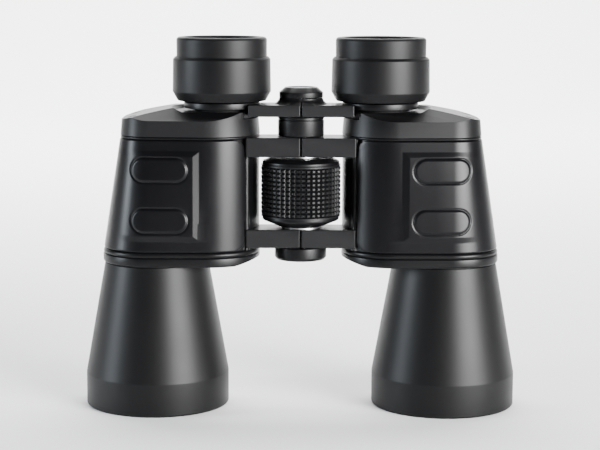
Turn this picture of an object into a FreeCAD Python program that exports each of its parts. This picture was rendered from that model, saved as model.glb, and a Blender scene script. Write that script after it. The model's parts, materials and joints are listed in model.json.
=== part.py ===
import FreeCAD, Part
import math
import os
import re

import Sketcher

# Porro-prism binoculars, in millimetres.
# Frame: +Z runs from the objectives to the eyepieces, X across the pair, +Y to the back.
# Origin: middle of the pair, in the plane of the optical axes, at the objective rims.
# The centre hinge stands ahead of the optical axes, at X = 0, Y = -hinge_ahead.

V = FreeCAD.Vector
UP = V(0, 0, 1)

SIZES = [
    ("axis_half", 65.6, "objective axis to the middle plane"),
    ("eye_half", 35.8, "eyepiece axis to the middle plane, halves spread"),
    ("hinge_ahead", 5.0, "hinge axis ahead of the optical axes"),
    ("bell_r", 32.65, "objective bell, outside"),
    ("bell_len", 15.0, "straight part of the bell"),
    ("rim_round", 1.0, "bevel of the bell rim"),
    ("barrel_len", 66.1, "objective barrel below the end flange"),
    ("neck_r", 23.6, "objective barrel where it meets the flange"),
    ("hood_r", 30.0, "inside of the lens hood"),
    ("hood_depth", 11.0, "depth of the lens hood"),
    ("lens_r", 25.4, "objective lens, outside"),
    ("lens_inset", 13.0, "bell rim to the front of the lens"),
    ("lens_curve", 110.0, "radius of the objective's front face"),
    ("crown_thick", 6.2, "crown lens"),
    ("flint_thick", 4.0, "flint lens"),
    ("lens_ledge", 1.8, "ledge that the lens sits on"),
    ("ring_wall", 1.5, "lens retaining ring, radial"),
    ("ring_thick", 1.8, "lens retaining ring, along the axis"),
    ("ring_inset", 0.8, "front of the lens to the retaining ring"),
    ("spigot_r", 19.8, "threaded spigot on top of the barrel"),
    ("spigot_wall", 1.8, "wall of the spigot"),
    ("flange_thick", 4.2, "end flange"),
    ("flange_slope", 11.3, "sloping inner end of the flange, across"),
    ("flange_rise", 2.8, "sloping inner end of the flange, along the axis"),
    ("flange_bevel", 0.8, "bevel round the rest of the flange"),
    ("lip_height", 2.4, "metal lip below the armour"),
    ("skin_gap", 0.2, "armour to the metal round it"),
    ("armour_len", 49.9, "armour, along the axis"),
    ("armour_thick", 1.6, "armour, through the rubber"),
    ("top_lip", 1.2, "metal lip above the armour"),
    ("inner_face", 18.7, "inner end of the prism housing to the middle plane"),
    ("inner_round", 23.3, "rounding of the inner end"),
    ("front_face", 23.3, "front of the prism housing from the optical axes"),
    ("back_face", 28.5, "back of the prism housing from the optical axes"),
    ("outer_flare", 8.7, "outward flare of the housing, top to bottom"),
    ("outer_top", 15.6, "outer face at the top, out from the objective axis"),
    ("front_lean", 4.8, "set-back of the outer front corner at the top"),
    ("front_round", 15.0, "outer front rounding at the top"),
    ("back_round", 20.0, "outer back rounding at the top"),
    ("low_round", 22.5, "outer roundings at the bottom"),
    ("shoulder", 24.3, "inner edge of the armour to the middle plane"),
    ("wall", 2.0, "housing wall"),
    ("floor_thick", 3.0, "housing floor"),
    ("panel_raise", 1.0, "raised panel on the armour"),
    ("panel_inner", 46.5, "inner edge of the panel to the middle plane"),
    ("panel_drop", 4.8, "top of the armour to the top of the panel"),
    ("panel_len", 40.3, "raised panel, along the axis"),
    ("pad_raise", 0.5, "thumb pads above the panel"),
    ("pad_high", 11.2, "thumb pad, along the axis"),
    ("pad_inner", 49.8, "inner end of the pads to the middle plane"),
    ("pad_long", 26.0, "thumb pad, across"),
    ("pad_first", 7.6, "top of the armour to the upper pad"),
    ("pad_pitch", 22.5, "upper pad to lower pad"),
    ("band_height", 7.0, "straight band of the prism cover"),
    ("band_taper", 0.6, "taper of the band"),
    ("dome_height", 5.1, "crown of the cover above its band"),
    ("front_slope_run", 10.4, "front slope of the crown, across"),
    ("back_slope_run", 10.4, "back slope of the crown, across"),
    ("crown_past", 0.5, "top of the crown beyond the eyepiece seat"),
    ("seat_rise", 3.5, "eyepiece seat above the band"),
    ("seat_r", 21.5, "eyepiece seat"),
    ("seat_bevel", 1.2, "bevel round the eyepiece seat"),
    ("slot_rise", 0.4, "floor of the arm slot above the band"),
    ("slot_side", 0.8, "arm slot to the arm, each side"),
    ("cover_hollow", 5.0, "depth of the hollow under the cover"),
    ("cover_rim", 7.0, "solid rim round the hollow"),
    ("screw_inset", 4.2, "cover screws from the edge of the cover"),
    ("front_screw_turn", 30.0, "front cover screw, forward of straight out, degrees"),
    ("back_screw_turn", 20.0, "back cover screw, behind straight out, degrees"),
    ("screw_shank", 1.0, "cover screw, shank radius"),
    ("screw_head", 2.0, "cover screw, head radius"),
    ("screw_head_high", 1.5, "cover screw, head"),
    ("screw_grip", 5.8, "cover above the housing under a screw head"),
    ("screw_reach", 6.0, "cover screw below the cover"),
    ("boss_r", 2.8, "screw boss in the housing"),
    ("boss_len", 9.0, "screw boss, along the screw"),
    ("prism_width", 20.0, "prism, across and high"),
    ("prism_clear", 1.7, "lower prism above the housing floor"),
    ("prism_tip", 1.6, "flat on the ridge of a prism"),
    ("shelf_thick", 4.0, "prism shelf"),
    ("port_r", 8.5, "light ports in the shelf"),
    ("clip_wide", 7.0, "prism clip, along the ridge"),
    ("clip_thick", 0.8, "prism clip, sheet"),
    ("lug_lift", 1.3, "housing lip to the lower hinge arms"),
    ("low_lug", 8.3, "lower hinge arms, along the hinge"),
    ("lug_drop", 0.6, "top of the housing to the upper hinge arms"),
    ("high_lug", 8.7, "upper hinge arms, along the hinge"),
    ("arm_front", 10.5, "front face of the arms ahead of the hinge"),
    ("arm_back", 8.0, "back face of the arms behind the hinge"),
    ("knuckle_r", 7.9, "hinge knuckles"),
    ("apart", 0.3, "moving pieces that pass each other"),
    ("slit", 0.7, "slit between the halves, in front"),
    ("fold_half", 33.5, "half of the notch behind the hinge, degrees"),
    ("run", 0.05, "running clearance, radial"),
    ("axle_r", 5.5, "hinge axle"),
    ("axle_bore", 4.0, "bore of the axle"),
    ("spindle_bore", 3.3, "hole for the spindle in the focus tube"),
    ("axle_over", 6.4, "axle above the upper arms"),
    ("socket_r", 4.4, "tripod socket, outside"),
    ("socket_len", 12.0, "tripod socket"),
    ("thread_r", 3.175, "tripod thread, quarter inch"),
    ("cap_r", 11.7, "tripod cap"),
    ("cap_high", 5.9, "tripod cap"),
    ("cap_bevel", 1.2, "bevel of the tripod cap"),
    ("nose_len", 3.6, "nose of the axle below the lower arms"),
    ("washer_r", 9.0, "hinge washers"),
    ("washer_thick", 0.5, "hinge washers"),
    ("wheel_r", 18.0, "focus wheel over the grip"),
    ("grip_thick", 2.5, "rubber grip of the focus wheel"),
    ("rim_r", 17.3, "plain rims beside the grip"),
    ("rim_wide", 1.5, "plain rims beside the grip"),
    ("wheel_base_r", 10.3, "lower end of the wheel hub"),
    ("wheel_top_r", 13.4, "upper end of the wheel hub"),
    ("low_cone", 3.0, "lower shoulder of the wheel"),
    ("high_cone", 1.5, "upper shoulder of the wheel"),
    ("nut_r", 8.6, "hinge nut"),
    ("nut_high", 3.5, "hinge nut"),
    ("tube_r", 10.4, "focus tube"),
    ("tube_roof", 1.5, "end wall of the focus tube"),
    ("spindle_r", 3.0, "focus spindle"),
    ("spindle_drop", 36.0, "focus spindle below the bridge"),
    ("bridge_lift", 1.25, "bridge arm above the floor of its slot"),
    ("bridge_high", 5.25, "bridge arm"),
    ("bridge_in", 25.0, "bridge arm ends under the ring, to the middle plane"),
    ("tube_gap", 0.35, "focus tube to the bridge"),
    ("gable_high", 3.0, "flare above the bridge arms"),
    ("gable_low_r", 12.7, "flare above the bridge arms, foot"),
    ("hub_r", 9.85, "bridge cap and top of the flare"),
    ("hub_side", 2.3, "straight side of the bridge cap"),
    ("hub_cone", 2.25, "bevelled top of the bridge cap"),
    ("hub_top_r", 7.25, "top of the bridge cap"),
    ("ring_lift", 1.2, "eyepiece ring above its seat"),
    ("ring_high", 2.9, "eyepiece ring of the bridge"),
    ("ring_r", 17.1, "eyepiece ring of the bridge"),
    ("ocular_r", 12.25, "eyepiece barrel in the bridge"),
    ("ocular_wall", 1.35, "wall of the eyepiece barrel"),
    ("ocular_reach", 12.7, "eyepiece barrel below its seat"),
    ("guide_wall", 1.0, "guide tube wall"),
    ("guide_reach", 14.7, "guide tube below the seat"),
    ("head_r", 15.9, "head of the eyepiece barrel"),
    ("head_lift", 1.5, "head of the barrel above the ring"),
    ("head_floor", 1.9, "floor of the barrel head"),
    ("head_len", 17.7, "head of the eyepiece barrel"),
    ("eye_lens_r", 14.0, "eyepiece lenses"),
    ("field_thick", 4.0, "field lens"),
    ("eye_thick", 4.5, "eye lens"),
    ("eye_curve", 34.0, "radius of the eyepiece lens faces"),
    ("eye_ledge", 1.6, "spacer and lock ring, radial"),
    ("spacer_len", 5.3, "spacer between the eyepiece lenses"),
    ("lock_thick", 1.6, "lock ring over the eye lens"),
    ("sleeve_lift", 0.4, "eyepiece sleeve above the bridge ring"),
    ("sleeve_foot_r", 19.95, "foot of the sleeve"),
    ("sleeve_r", 22.2, "sleeve, lower end"),
    ("sleeve_top_r", 21.95, "sleeve, upper end"),
    ("sleeve_foot", 4.2, "bevelled foot of the sleeve"),
    ("sleeve_side", 14.4, "side of the sleeve"),
    ("sleeve_round", 1.2, "shoulder at the top of the sleeve"),
    ("pocket_floor", 3.6, "foot of the sleeve to the eyecup pocket"),
    ("cup_r", 20.4, "eyecup"),
    ("cup_wall", 4.05, "eyecup wall"),
    ("cup_rise", 8.7, "eyecup above the sleeve"),
    ("cup_tail", 7.5, "eyecup inside the sleeve"),
    ("cup_round", 1.2, "rounding of the eyecup rim"),
    ("cup_gap", 0.25, "eyecup to the sleeve round it"),
    ("strap_wide", 8.0, "strap lug"),
    ("strap_thick", 3.0, "strap lug"),
    ("strap_out", 6.5, "strap lug beyond the cover"),
    ("strap_hole", 1.7, "hole of the strap lug, radius"),
    ("strap_turn", 45.0, "strap lug, behind straight out, degrees"),
    ("strap_up", 2.0, "strap lug above the foot of the cover"),
]

# Levels along Z, each from the pieces stacked below it.
FLANGE_TOP = "(barrel_len + flange_thick)"
LIP_TOP = "(barrel_len + flange_thick + lip_height)"
FLOOR_TOP = "(barrel_len + flange_thick + floor_thick)"
ARMOUR_BASE = "(%s + skin_gap)" % LIP_TOP
ARMOUR_TOP = "(%s + armour_len)" % ARMOUR_BASE
HOUSING_TOP = "(%s + skin_gap + top_lip)" % ARMOUR_TOP
BAND_TOP = "(%s + band_height)" % HOUSING_TOP
DOME_TOP = "(%s + dome_height)" % BAND_TOP
SEAT = "(%s + seat_rise)" % BAND_TOP
SLOT = "(%s + slot_rise)" % BAND_TOP
SHELF_BASE = "(%s + prism_clear + prism_width)" % FLOOR_TOP
SHELF_TOP = "(%s + shelf_thick)" % SHELF_BASE
LOW_LUG = "(%s + lug_lift)" % LIP_TOP
LOW_LUG_TOP = "(%s + low_lug)" % LOW_LUG
HIGH_LUG_TOP = "(%s - lug_drop)" % HOUSING_TOP
HIGH_LUG = "(%s - high_lug)" % HIGH_LUG_TOP
WHEEL_BASE = "(%s + washer_thick + apart)" % LOW_LUG_TOP
WHEEL_TOP = "(%s - washer_thick - apart)" % HIGH_LUG
BRIDGE = "(%s + bridge_lift)" % SLOT
BRIDGE_TOP = "(%s + bridge_high)" % BRIDGE
GABLE_TOP = "(%s + gable_high)" % BRIDGE_TOP
RING = "(%s + ring_lift)" % SEAT
RING_TOP = "(%s + ring_high)" % RING
HEAD = "(%s + head_lift)" % RING_TOP
HEAD_TOP = "(%s + head_len)" % HEAD
FIELD_LENS = "(%s + head_floor)" % HEAD
SPACER = "(%s + field_thick)" % FIELD_LENS
EYE_LENS = "(%s + spacer_len)" % SPACER
LOCK_RING = "(%s + eye_thick)" % EYE_LENS
SLEEVE = "(%s + sleeve_lift)" % RING_TOP
SLEEVE_TOP = "(%s + sleeve_foot + sleeve_side + sleeve_round)" % SLEEVE
CUP_TOP = "(%s + cup_rise)" % SLEEVE_TOP
LENS_BACK = "(lens_inset + crown_thick + flint_thick)"

doc = FreeCAD.newDocument("Binoculars")
sheet = doc.addObject("Spreadsheet::Sheet", "Sizes")
for row, (alias, value, meaning) in enumerate(SIZES, start=1):
    sheet.set("A%d" % row, meaning)
    sheet.set("B%d" % row, str(value))
    sheet.setAlias("B%d" % row, alias)
doc.recompute()

pieces = []


def bound(text):
    """Turn a sum of size names into an expression that reads the sheet."""
    return re.sub(r"\b([a-z]\w*)\b", r"Sizes.\1", text)


def size(text):
    """The present value of a sum of size names."""
    value = sheet.evalExpression(bound(text))
    return float(getattr(value, "Value", value))


def keep(piece):
    """List an object as one of the finished pieces."""
    pieces.append(piece)
    return piece


def place(piece, x="0", y="0", z="0"):
    """Bind the place of an object to the sheet."""
    for axis, text in (("x", x), ("y", y), ("z", z)):
        piece.setExpression("Placement.Base." + axis, bound(text))
    return piece


# --- Turned pieces: a sketch of radius and height, revolved in a body ---------------


def pin(sketch, kind, corner, text):
    """Hold one corner of a profile to a size of the sheet."""
    if text == "0":
        axis = -2 if kind == "DistanceX" else -1
        sketch.addConstraint(Sketcher.Constraint("PointOnObject", corner, 1, axis))
        return
    rule = Sketcher.Constraint(kind, -1, 1, corner, 1, size(text))
    index = sketch.addConstraint(rule)
    sketch.setExpression("Constraints[%d]" % index, bound(text))


def turned(label, profile, x="0", y="0"):
    """A body revolved about a vertical axis from corners of (radius, height)."""
    body = doc.addObject("PartDesign::Body", label)
    sketch = body.newObject("Sketcher::SketchObject", label + "_profile")
    planes = [plane for plane in body.Origin.OriginFeatures if plane.Role == "XZ_Plane"]
    sketch.AttachmentSupport = [(planes[0], "")]
    sketch.MapMode = "FlatFace"
    corners = [V(size(radius), size(height), 0) for radius, height in profile]
    for start, end in zip(corners, corners[1:] + corners[:1]):
        sketch.addGeometry(Part.LineSegment(start, end))
    for corner in range(len(corners)):
        follower = (corner + 1) % len(corners)
        sketch.addConstraint(Sketcher.Constraint("Coincident", corner, 2, follower, 1))
    for corner, (radius, height) in enumerate(profile):
        pin(sketch, "DistanceX", corner, radius)
        pin(sketch, "DistanceY", corner, height)
    revolution = body.newObject("PartDesign::Revolution", label + "_turned")
    revolution.Profile = sketch
    revolution.ReferenceAxis = (sketch, ["V_Axis"])
    revolution.Angle = 360
    sketch.Visibility = False
    return place(body, x, y)


def tube(label, inside, outside, base, top, x="0", y="0"):
    """A turned ring or tube."""
    return turned(label, [(inside, base), (outside, base), (outside, top), (inside, top)], x, y)


def mirrored(label, source):
    """The left-hand twin of a right-hand piece."""
    twin = doc.addObject("Part::Mirroring", label)
    twin.Source = source
    twin.Normal = V(1, 0, 0)
    return keep(twin)


# --- Primitives and booleans ---------------------------------------------------------


def primitive(kind, label, place_at, **sizes):
    """A Part primitive whose sizes and place are bound to the sheet."""
    solid = doc.addObject("Part::" + kind, label)
    for name, text in sizes.items():
        solid.setExpression(name, bound(text))
    return place(solid, *place_at)


def boolean(kind, label, base, tool):
    """A Part::Cut or Part::Common of two objects."""
    result = doc.addObject("Part::" + kind, label)
    result.Base = base
    result.Tool = tool
    return result


# --- Free outlines, for which no primitive or single sketch serves --------------------


def rounded_outline(corners, radii, height):
    """A closed wire through four corners, each rounded with an arc."""
    points = [V(x, y, height) for x, y in corners]
    edges = []
    arcs = []
    for index, corner in enumerate(points):
        before = (points[index - 1] - corner).normalize()
        after = (points[(index + 1) % 4] - corner).normalize()
        half = before.getAngle(after) / 2
        middle = (before + after).normalize()
        centre = corner + middle * (radii[index] / math.sin(half))
        reach = radii[index] / math.tan(half)
        arcs.append((corner + before * reach, centre - middle * radii[index], corner + after * reach))
    for index, (start, middle, end) in enumerate(arcs):
        edges.append(Part.Arc(start, middle, end).toShape())
        follower = arcs[(index + 1) % 4][0]
        edges.append(Part.LineSegment(end, follower).toShape())
    return Part.Wire(edges)


def housing_section(height, inset=0.0, grow=0.0):
    """The right-hand housing's outline at a level, set in or grown by a distance."""
    low = size(FLANGE_TOP)
    share = (height - low) / (size(HOUSING_TOP) - low)
    edge = inset - grow
    outer = size("axis_half + outer_top + outer_flare") - share * size("outer_flare") - edge
    front = -size("front_face") + edge
    back = size("back_face") - edge
    inner = size("inner_face") + edge
    lean = share * size("front_lean")
    corners = [(inner, front), (outer, front + lean), (outer, back), (inner, back)]
    low_round = size("low_round")
    front_round = low_round + share * (size("front_round") - low_round)
    back_round = low_round + share * (size("back_round") - low_round)
    radii = [size("inner_round"), front_round, back_round, size("inner_round")]
    return rounded_outline(corners, [radius - edge for radius in radii], height)


def housing_solid(base, top, inset=0.0, grow=0.0):
    """The housing's flared form between two levels."""
    sections = [housing_section(base, inset, grow), housing_section(top, inset, grow)]
    return Part.makeLoft(sections, True, True)


def block(x0, x1, y0, y1, z0, z1):
    """A box between two corners."""
    return Part.makeBox(x1 - x0, y1 - y0, z1 - z0, V(x0, y0, z0))


def rod(radius, base, top, x, y):
    """An upright cylinder between two levels."""
    return Part.makeCylinder(radius, top - base, V(x, y, base))


def shaped(label, shape):
    """A finished piece with a free form."""
    feature = doc.addObject("Part::Feature", label)
    feature.Shape = shape
    return keep(feature)


def left_hand(shape):
    """The mirror image of a shape in the middle plane."""
    return shape.mirror(V(0, 0, 0), V(1, 0, 0))


def hinge_arm(base, top, reach, owns_low, bore, flare_top):
    """A right-hand arm with its half-height knuckle, notched so that the halves can fold.

    flare_top is the level of the flare above the arm, or the arm's own top for none.
    """
    hinge = -size("hinge_ahead")
    front = hinge - size("arm_front")
    back = hinge + size("arm_back")
    apart = size("apart")
    knuckle = size("knuckle_r")
    arm = block(0, reach, front, back, base, top)
    if flare_top > top:
        flare = Part.makeCone(size("gable_low_r"), size("hub_r"), flare_top - top, V(0, hinge, top))
        arm = arm.fuse(flare.common(block(0, reach, front, back + reach, top, flare_top)))
    far = 2 * size("gable_low_r")
    side = far * math.tan(math.radians(size("fold_half")))
    point = V(0, hinge, base)
    notch = Part.makePolygon([point, V(side, hinge + far, base), V(0, hinge + far, base), point])
    arm = arm.cut(Part.Face(notch).extrude(UP * (flare_top - base)))
    arm = arm.cut(block(-far, size("slit / 2"), front - 1, far, base, flare_top))
    middle = (base + top) / 2
    own = (base, middle - apart / 2) if owns_low else (middle + apart / 2, top)
    other = (middle - apart / 2, top) if owns_low else (base, middle + apart / 2)
    arm = arm.cut(rod(knuckle + apart, other[0], other[1], 0, hinge))
    arm = arm.fuse(rod(knuckle, own[0], own[1], 0, hinge))
    return arm.cut(rod(bore, base - 1, flare_top + 1, 0, hinge)).removeSplitter()


def screw_places():
    """Where the three cover screws of the right-hand half stand."""
    inset = size("screw_inset")
    top = size("axis_half + outer_top")
    front = size("front_round")
    back = size("back_round")
    front_axis = V(top - front, -size("front_face - front_lean") + front, 0)
    back_axis = V(top - back, size("back_face") - back, 0)
    front_turn = math.radians(size("front_screw_turn"))
    back_turn = math.radians(size("back_screw_turn"))
    front_way = V(math.cos(front_turn), -math.sin(front_turn), 0)
    back_way = V(math.cos(back_turn), math.sin(back_turn), 0)
    third = V(size("inner_face + inner_round"), size("back_face") - inset, 0)
    return [front_axis + front_way * (front - inset), back_axis + back_way * (back - inset), third]


# --- Prism housings, armour, covers and flanges ---------------------------------------

# The crown's outer slope bends once, at these shares of its run and of its rise.
HIP_SHARE = 0.45
HIP_RISE = 0.53


def build_housing(owns_low, bore):
    """The right-hand prism housing with its two hinge arms."""
    floor = size(FLANGE_TOP)
    roof = size(HOUSING_TOP)
    thick = size("armour_thick")
    far = 2 * size("axis_half")
    seat = block(size("shoulder"), far, -far, far, size(LIP_TOP), size(ARMOUR_TOP + " + skin_gap"))
    seat = seat.cut(housing_solid(floor, roof, inset=thick))
    body = housing_solid(floor, roof).cut(seat)
    for low, high in ((LOW_LUG, LOW_LUG_TOP), (HIGH_LUG, HIGH_LUG_TOP)):
        arm = hinge_arm(size(low), size(high), size("shoulder"), owns_low, bore, size(high))
        body = body.fuse(arm)
    cavity = housing_solid(size(FLOOR_TOP), roof, inset=thick + size("wall"))
    for spot in screw_places():
        cavity = cavity.cut(rod(size("boss_r"), roof - size("boss_len"), roof, spot.x, spot.y))
    body = body.cut(cavity)
    body = body.cut(rod(size("spigot_r"), floor - 1, size(FLOOR_TOP) + 1, size("axis_half"), 0))
    guide = size("ocular_r + guide_wall + 2 * run")
    body = body.cut(rod(guide, size(SEAT + " - guide_reach - apart"), roof, size("eye_half"), 0))
    for spot in screw_places():
        body = body.cut(rod(size("screw_shank"), roof - size("screw_reach"), roof, spot.x, spot.y))
    return body.removeSplitter()


def stadium(inner, outer, low, high, depth):
    """A slab with round ends, standing upright ahead of the optical axes."""
    radius = (high - low) / 2
    middle = (low + high) / 2
    bar = block(inner + radius, outer - radius, -depth, 0, low, high)
    for x in (inner + radius, outer - radius):
        bar = bar.fuse(Part.makeCylinder(radius, depth, V(x, -depth, middle), V(0, 1, 0)))
    return bar


def build_armour():
    """The right-hand rubber armour with its raised panel and two thumb pads."""
    base = size(ARMOUR_BASE)
    top = size(ARMOUR_TOP)
    depth = 2 * size("bell_r")
    wrap = housing_solid(base, top)
    panel_top = top - size("panel_drop")
    outer = size("axis_half + outer_top + outer_flare") + size("bell_r")
    window = block(size("panel_inner"), outer, -depth, 0, panel_top - size("panel_len"), panel_top)
    raised = size("panel_raise")
    wrap = wrap.fuse(housing_solid(base, top, grow=raised).common(window))
    raised = raised + size("pad_raise")
    form = housing_solid(base, top, grow=raised)
    for count in range(2):
        high = top - size("pad_first") - count * size("pad_pitch")
        inner = size("pad_inner")
        pad = stadium(inner, inner + size("pad_long"), high - size("pad_high"), high, depth)
        wrap = wrap.fuse(form.common(pad))
    wrap = wrap.cut(housing_solid(base - 1, top + 1, inset=size("armour_thick")))
    return wrap.cut(block(0, size("shoulder + skin_gap"), -depth, depth, base, top))


def build_cover():
    """The right-hand prism cover: band, crown, eyepiece seat and arm slot."""
    base = size(HOUSING_TOP)
    cover = cover_band().fuse(build_crown())
    eye = size("eye_half")
    seat = size(SEAT)
    crest = size(DOME_TOP) + 1
    cover = cover.cut(rod(size("seat_r"), seat, crest, eye, 0))
    bevel = size("seat_bevel")
    cover = cover.cut(Part.makeCone(size("seat_r"), size("seat_r") + 2 * bevel, 2 * bevel, V(eye, 0, seat)))
    hinge = -size("hinge_ahead")
    side = size("slot_side")
    front = hinge - size("arm_front") - side
    back = hinge + size("arm_back") + side
    cover = cover.cut(block(0, size("bridge_in") + side, front, back, size(SLOT), crest))
    hollow = Part.Face(housing_section(base, inset=size("cover_rim"))).extrude(UP * size("cover_hollow"))
    cover = cover.cut(hollow)
    cover = cover.cut(rod(size("ocular_r + run + guide_wall"), base - 1, crest, eye, 0))
    for spot in screw_places():
        grip = base + size("screw_grip")
        cover = cover.cut(rod(size("screw_shank"), base - 1, grip, spot.x, spot.y))
        cover = cover.cut(rod(size("screw_head + 2 * run"), grip, crest, spot.x, spot.y))
    return cover.removeSplitter()


def band_outline():
    """The cover's outline at the top of its band."""
    taper = size("band_taper")
    inner = size("inner_face")
    outer = size("axis_half + outer_top") - taper
    front = -size("front_face") + taper
    back = size("back_face") - taper
    corners = [(inner, front), (outer, front + size("front_lean")), (outer, back), (inner, back)]
    round_in = size("inner_round")
    radii = [round_in, size("front_round") - taper, size("back_round") - taper, round_in]
    return rounded_outline(corners, radii, size(BAND_TOP))


def cover_band():
    """The cover's straight band, without hollows."""
    return Part.makeLoft([housing_section(size(HOUSING_TOP)), band_outline()], True, True)


def prism_between(corners, way):
    """A prism: a flat polygon carried along a vector."""
    return Part.Face(Part.makePolygon(corners + corners[:1])).extrude(way)


def build_crown():
    """The crown: upright at its inner end, sloped in front, behind and at its outer end."""
    base = size(BAND_TOP)
    top = size(DOME_TOP)
    taper = size("band_taper")
    inner = size("inner_face")
    outer = size("axis_half + outer_top") - taper
    front = -size("front_face") + taper
    back = size("back_face") - taper
    far = 2 * size("axis_half")
    crown = Part.Face(band_outline()).extrude(UP * size("dome_height"))
    edge = [V(inner, front, base), V(inner, front + size("front_slope_run"), top)]
    edge = edge + [V(inner, far, top), V(inner, far, base)]
    crown = crown.common(prism_between(edge, V(outer - inner, size("front_lean"), 0)))
    edge = [V(inner, back, base), V(inner, back - size("back_slope_run"), top)]
    edge = edge + [V(inner, -far, top), V(inner, -far, base)]
    crown = crown.common(prism_between(edge, V(outer - inner, 0, 0)))
    run = outer - size("eye_half + seat_r + crown_past")
    hip = V(outer - run * HIP_SHARE, -far, base + (top - base) * HIP_RISE)
    edge = [V(outer, -far, base), hip, V(outer - run, -far, top), V(inner, -far, top), V(inner, -far, base)]
    return crown.common(prism_between(edge, V(0, 2 * far, 0)))


def build_flange():
    """The right-hand end flange, cut to a slope below its inner end."""
    base = size("barrel_len")
    top = size(FLANGE_TOP)
    bevel = size("flange_bevel")
    outer = size("axis_half + outer_top + outer_flare") - bevel
    front = -size("front_face") + bevel
    inner = size("inner_face") + bevel
    back = size("back_face") - bevel
    corners = [(inner, front), (outer, front), (outer, back), (inner, back)]
    round_in = size("inner_round") - bevel
    round_out = size("low_round") - bevel
    low = rounded_outline(corners, [round_in, round_out, round_out, round_in], base)
    plate = Part.makeLoft([low, housing_section(base + bevel)], True, True)
    plate = plate.fuse(housing_solid(base + bevel, top))
    far = 2 * size("bell_r")
    start = size("inner_face")
    slope = [V(start, -far, base + size("flange_rise")), V(start + size("flange_slope"), -far, base)]
    slope = slope + [V(start + size("flange_slope"), -far, base - 1), V(start - 1, -far, base - 1)]
    slope.append(V(start - 1, -far, base + size("flange_rise")))
    plate = plate.cut(prism_between(slope, V(0, 2 * far, 0)))
    return plate.cut(rod(size("spigot_r"), base - 1, top + 1, size("axis_half"), 0)).removeSplitter()


shaped("right_prism_housing", build_housing(False, size("axle_r + run")))
shaped("left_prism_housing", left_hand(build_housing(True, size("axle_r"))))
mirrored("left_armour", shaped("right_armour", build_armour()))
mirrored("left_prism_cover", shaped("right_prism_cover", build_cover()))
mirrored("left_end_flange", shaped("right_end_flange", build_flange()))

# --- Objective barrels and their lenses -----------------------------------------------

BARREL = [
    ("hood_r", "0"), ("bell_r - rim_round", "0"), ("bell_r", "rim_round"),
    ("bell_r", "bell_len"), ("neck_r", "barrel_len"), ("spigot_r", "barrel_len"),
    ("spigot_r", FLOOR_TOP), ("spigot_r - spigot_wall", FLOOR_TOP),
    ("spigot_r - spigot_wall", "barrel_len - 2 * spigot_wall"),
    ("lens_r + lens_ledge", LENS_BACK + " + 2 * lens_ledge"),
    ("lens_r - lens_ledge", LENS_BACK + " + lens_ledge"),
    ("lens_r - lens_ledge", LENS_BACK), ("lens_r", LENS_BACK),
    ("lens_r", "hood_depth"), ("hood_r", "hood_depth"),
]
barrel = keep(turned("right_objective_barrel", BARREL, "axis_half"))
mirrored("left_objective_barrel", barrel)

KEEPER = "(lens_inset + ring_inset)"
keeper = tube("right_objective_ring", "lens_r - ring_wall", "lens_r", KEEPER,
              KEEPER + " + ring_thick", "axis_half")
mirrored("left_objective_ring", keep(keeper))

blank = primitive("Cylinder", "crown_blank", ("axis_half", "0", "lens_inset"),
                  Radius="lens_r", Height="crown_thick")
ball = primitive("Sphere", "crown_ball", ("axis_half", "0", "lens_inset + lens_curve"),
                 Radius="lens_curve")
crown_lens = keep(boolean("Common", "right_crown_lens", blank, ball))
mirrored("left_crown_lens", crown_lens)

blank = primitive("Cylinder", "flint_blank", ("axis_half", "0", "lens_inset + crown_thick"),
                  Radius="lens_r", Height="flint_thick")
ball = primitive("Sphere", "flint_ball",
                 ("axis_half", "0", LENS_BACK + " + lens_curve - flint_thick / 3"),
                 Radius="lens_curve")
flint_lens = keep(boolean("Cut", "right_flint_lens", blank, ball))
mirrored("left_flint_lens", flint_lens)

# --- Prisms, shelf and clips ----------------------------------------------------------
# The objective's prism lies above the shelf and the eyepiece's below it, at right angles,
# so the line from eyepiece axis to objective axis is the long side of a right triangle.

HALF_SPAN = "((axis_half - eye_half) / 2)"
PRISM_CENTRES = {
    True: ("axis_half - %s / 2" % HALF_SPAN, HALF_SPAN + " / 2", SHELF_TOP),
    False: ("eye_half + %s / 2" % HALF_SPAN, HALF_SPAN + " / 2", SHELF_BASE),
}


def build_prism(label, above):
    """A roof-shaped prism with round ends, on one side of the shelf."""
    wedge = doc.addObject("Part::Wedge", label + "_roof")
    spans = {"Xmin": "-prism_width", "Xmax": "prism_width", "X2min": "-prism_tip / 2",
             "X2max": "prism_tip / 2", "Zmin": "-prism_width / 2", "Zmax": "prism_width / 2",
             "Z2min": "-prism_width / 2", "Z2max": "prism_width / 2", "Ymax": "prism_width"}
    for name, text in spans.items():
        wedge.setExpression(name, bound(text))
    slab = primitive("Box", label + "_slab", ("-prism_width / 2", "-prism_width / 2", "0"),
                     Length="prism_width", Width="prism_width", Height="prism_width")
    ends = []
    for name, centre in (("_end1", "prism_width / 2"), ("_end2", "-prism_width / 2")):
        ends.append(primitive("Cylinder", label + name, (centre, "0", "0"),
                              Radius="prism_width / 2", Height="prism_width"))
    wedge.Placement.Rotation = FreeCAD.Rotation(V(1, 0, 0), 90)
    footprint = doc.addObject("Part::MultiFuse", label + "_footprint")
    footprint.Shapes = [slab] + ends
    prism = boolean("Common", label, wedge, footprint)
    if above:
        prism.Placement.Rotation = FreeCAD.Rotation(UP, -45)
    else:
        turned_over = FreeCAD.Rotation(V(1, 0, 0), 180)
        prism.Placement.Rotation = FreeCAD.Rotation(UP, 45).multiply(turned_over)
    return keep(place(prism, *PRISM_CENTRES[above]))


upper_prism = build_prism("right_objective_prism", True)
lower_prism = build_prism("right_eyepiece_prism", False)
mirrored("left_objective_prism", upper_prism)
mirrored("left_eyepiece_prism", lower_prism)


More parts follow.
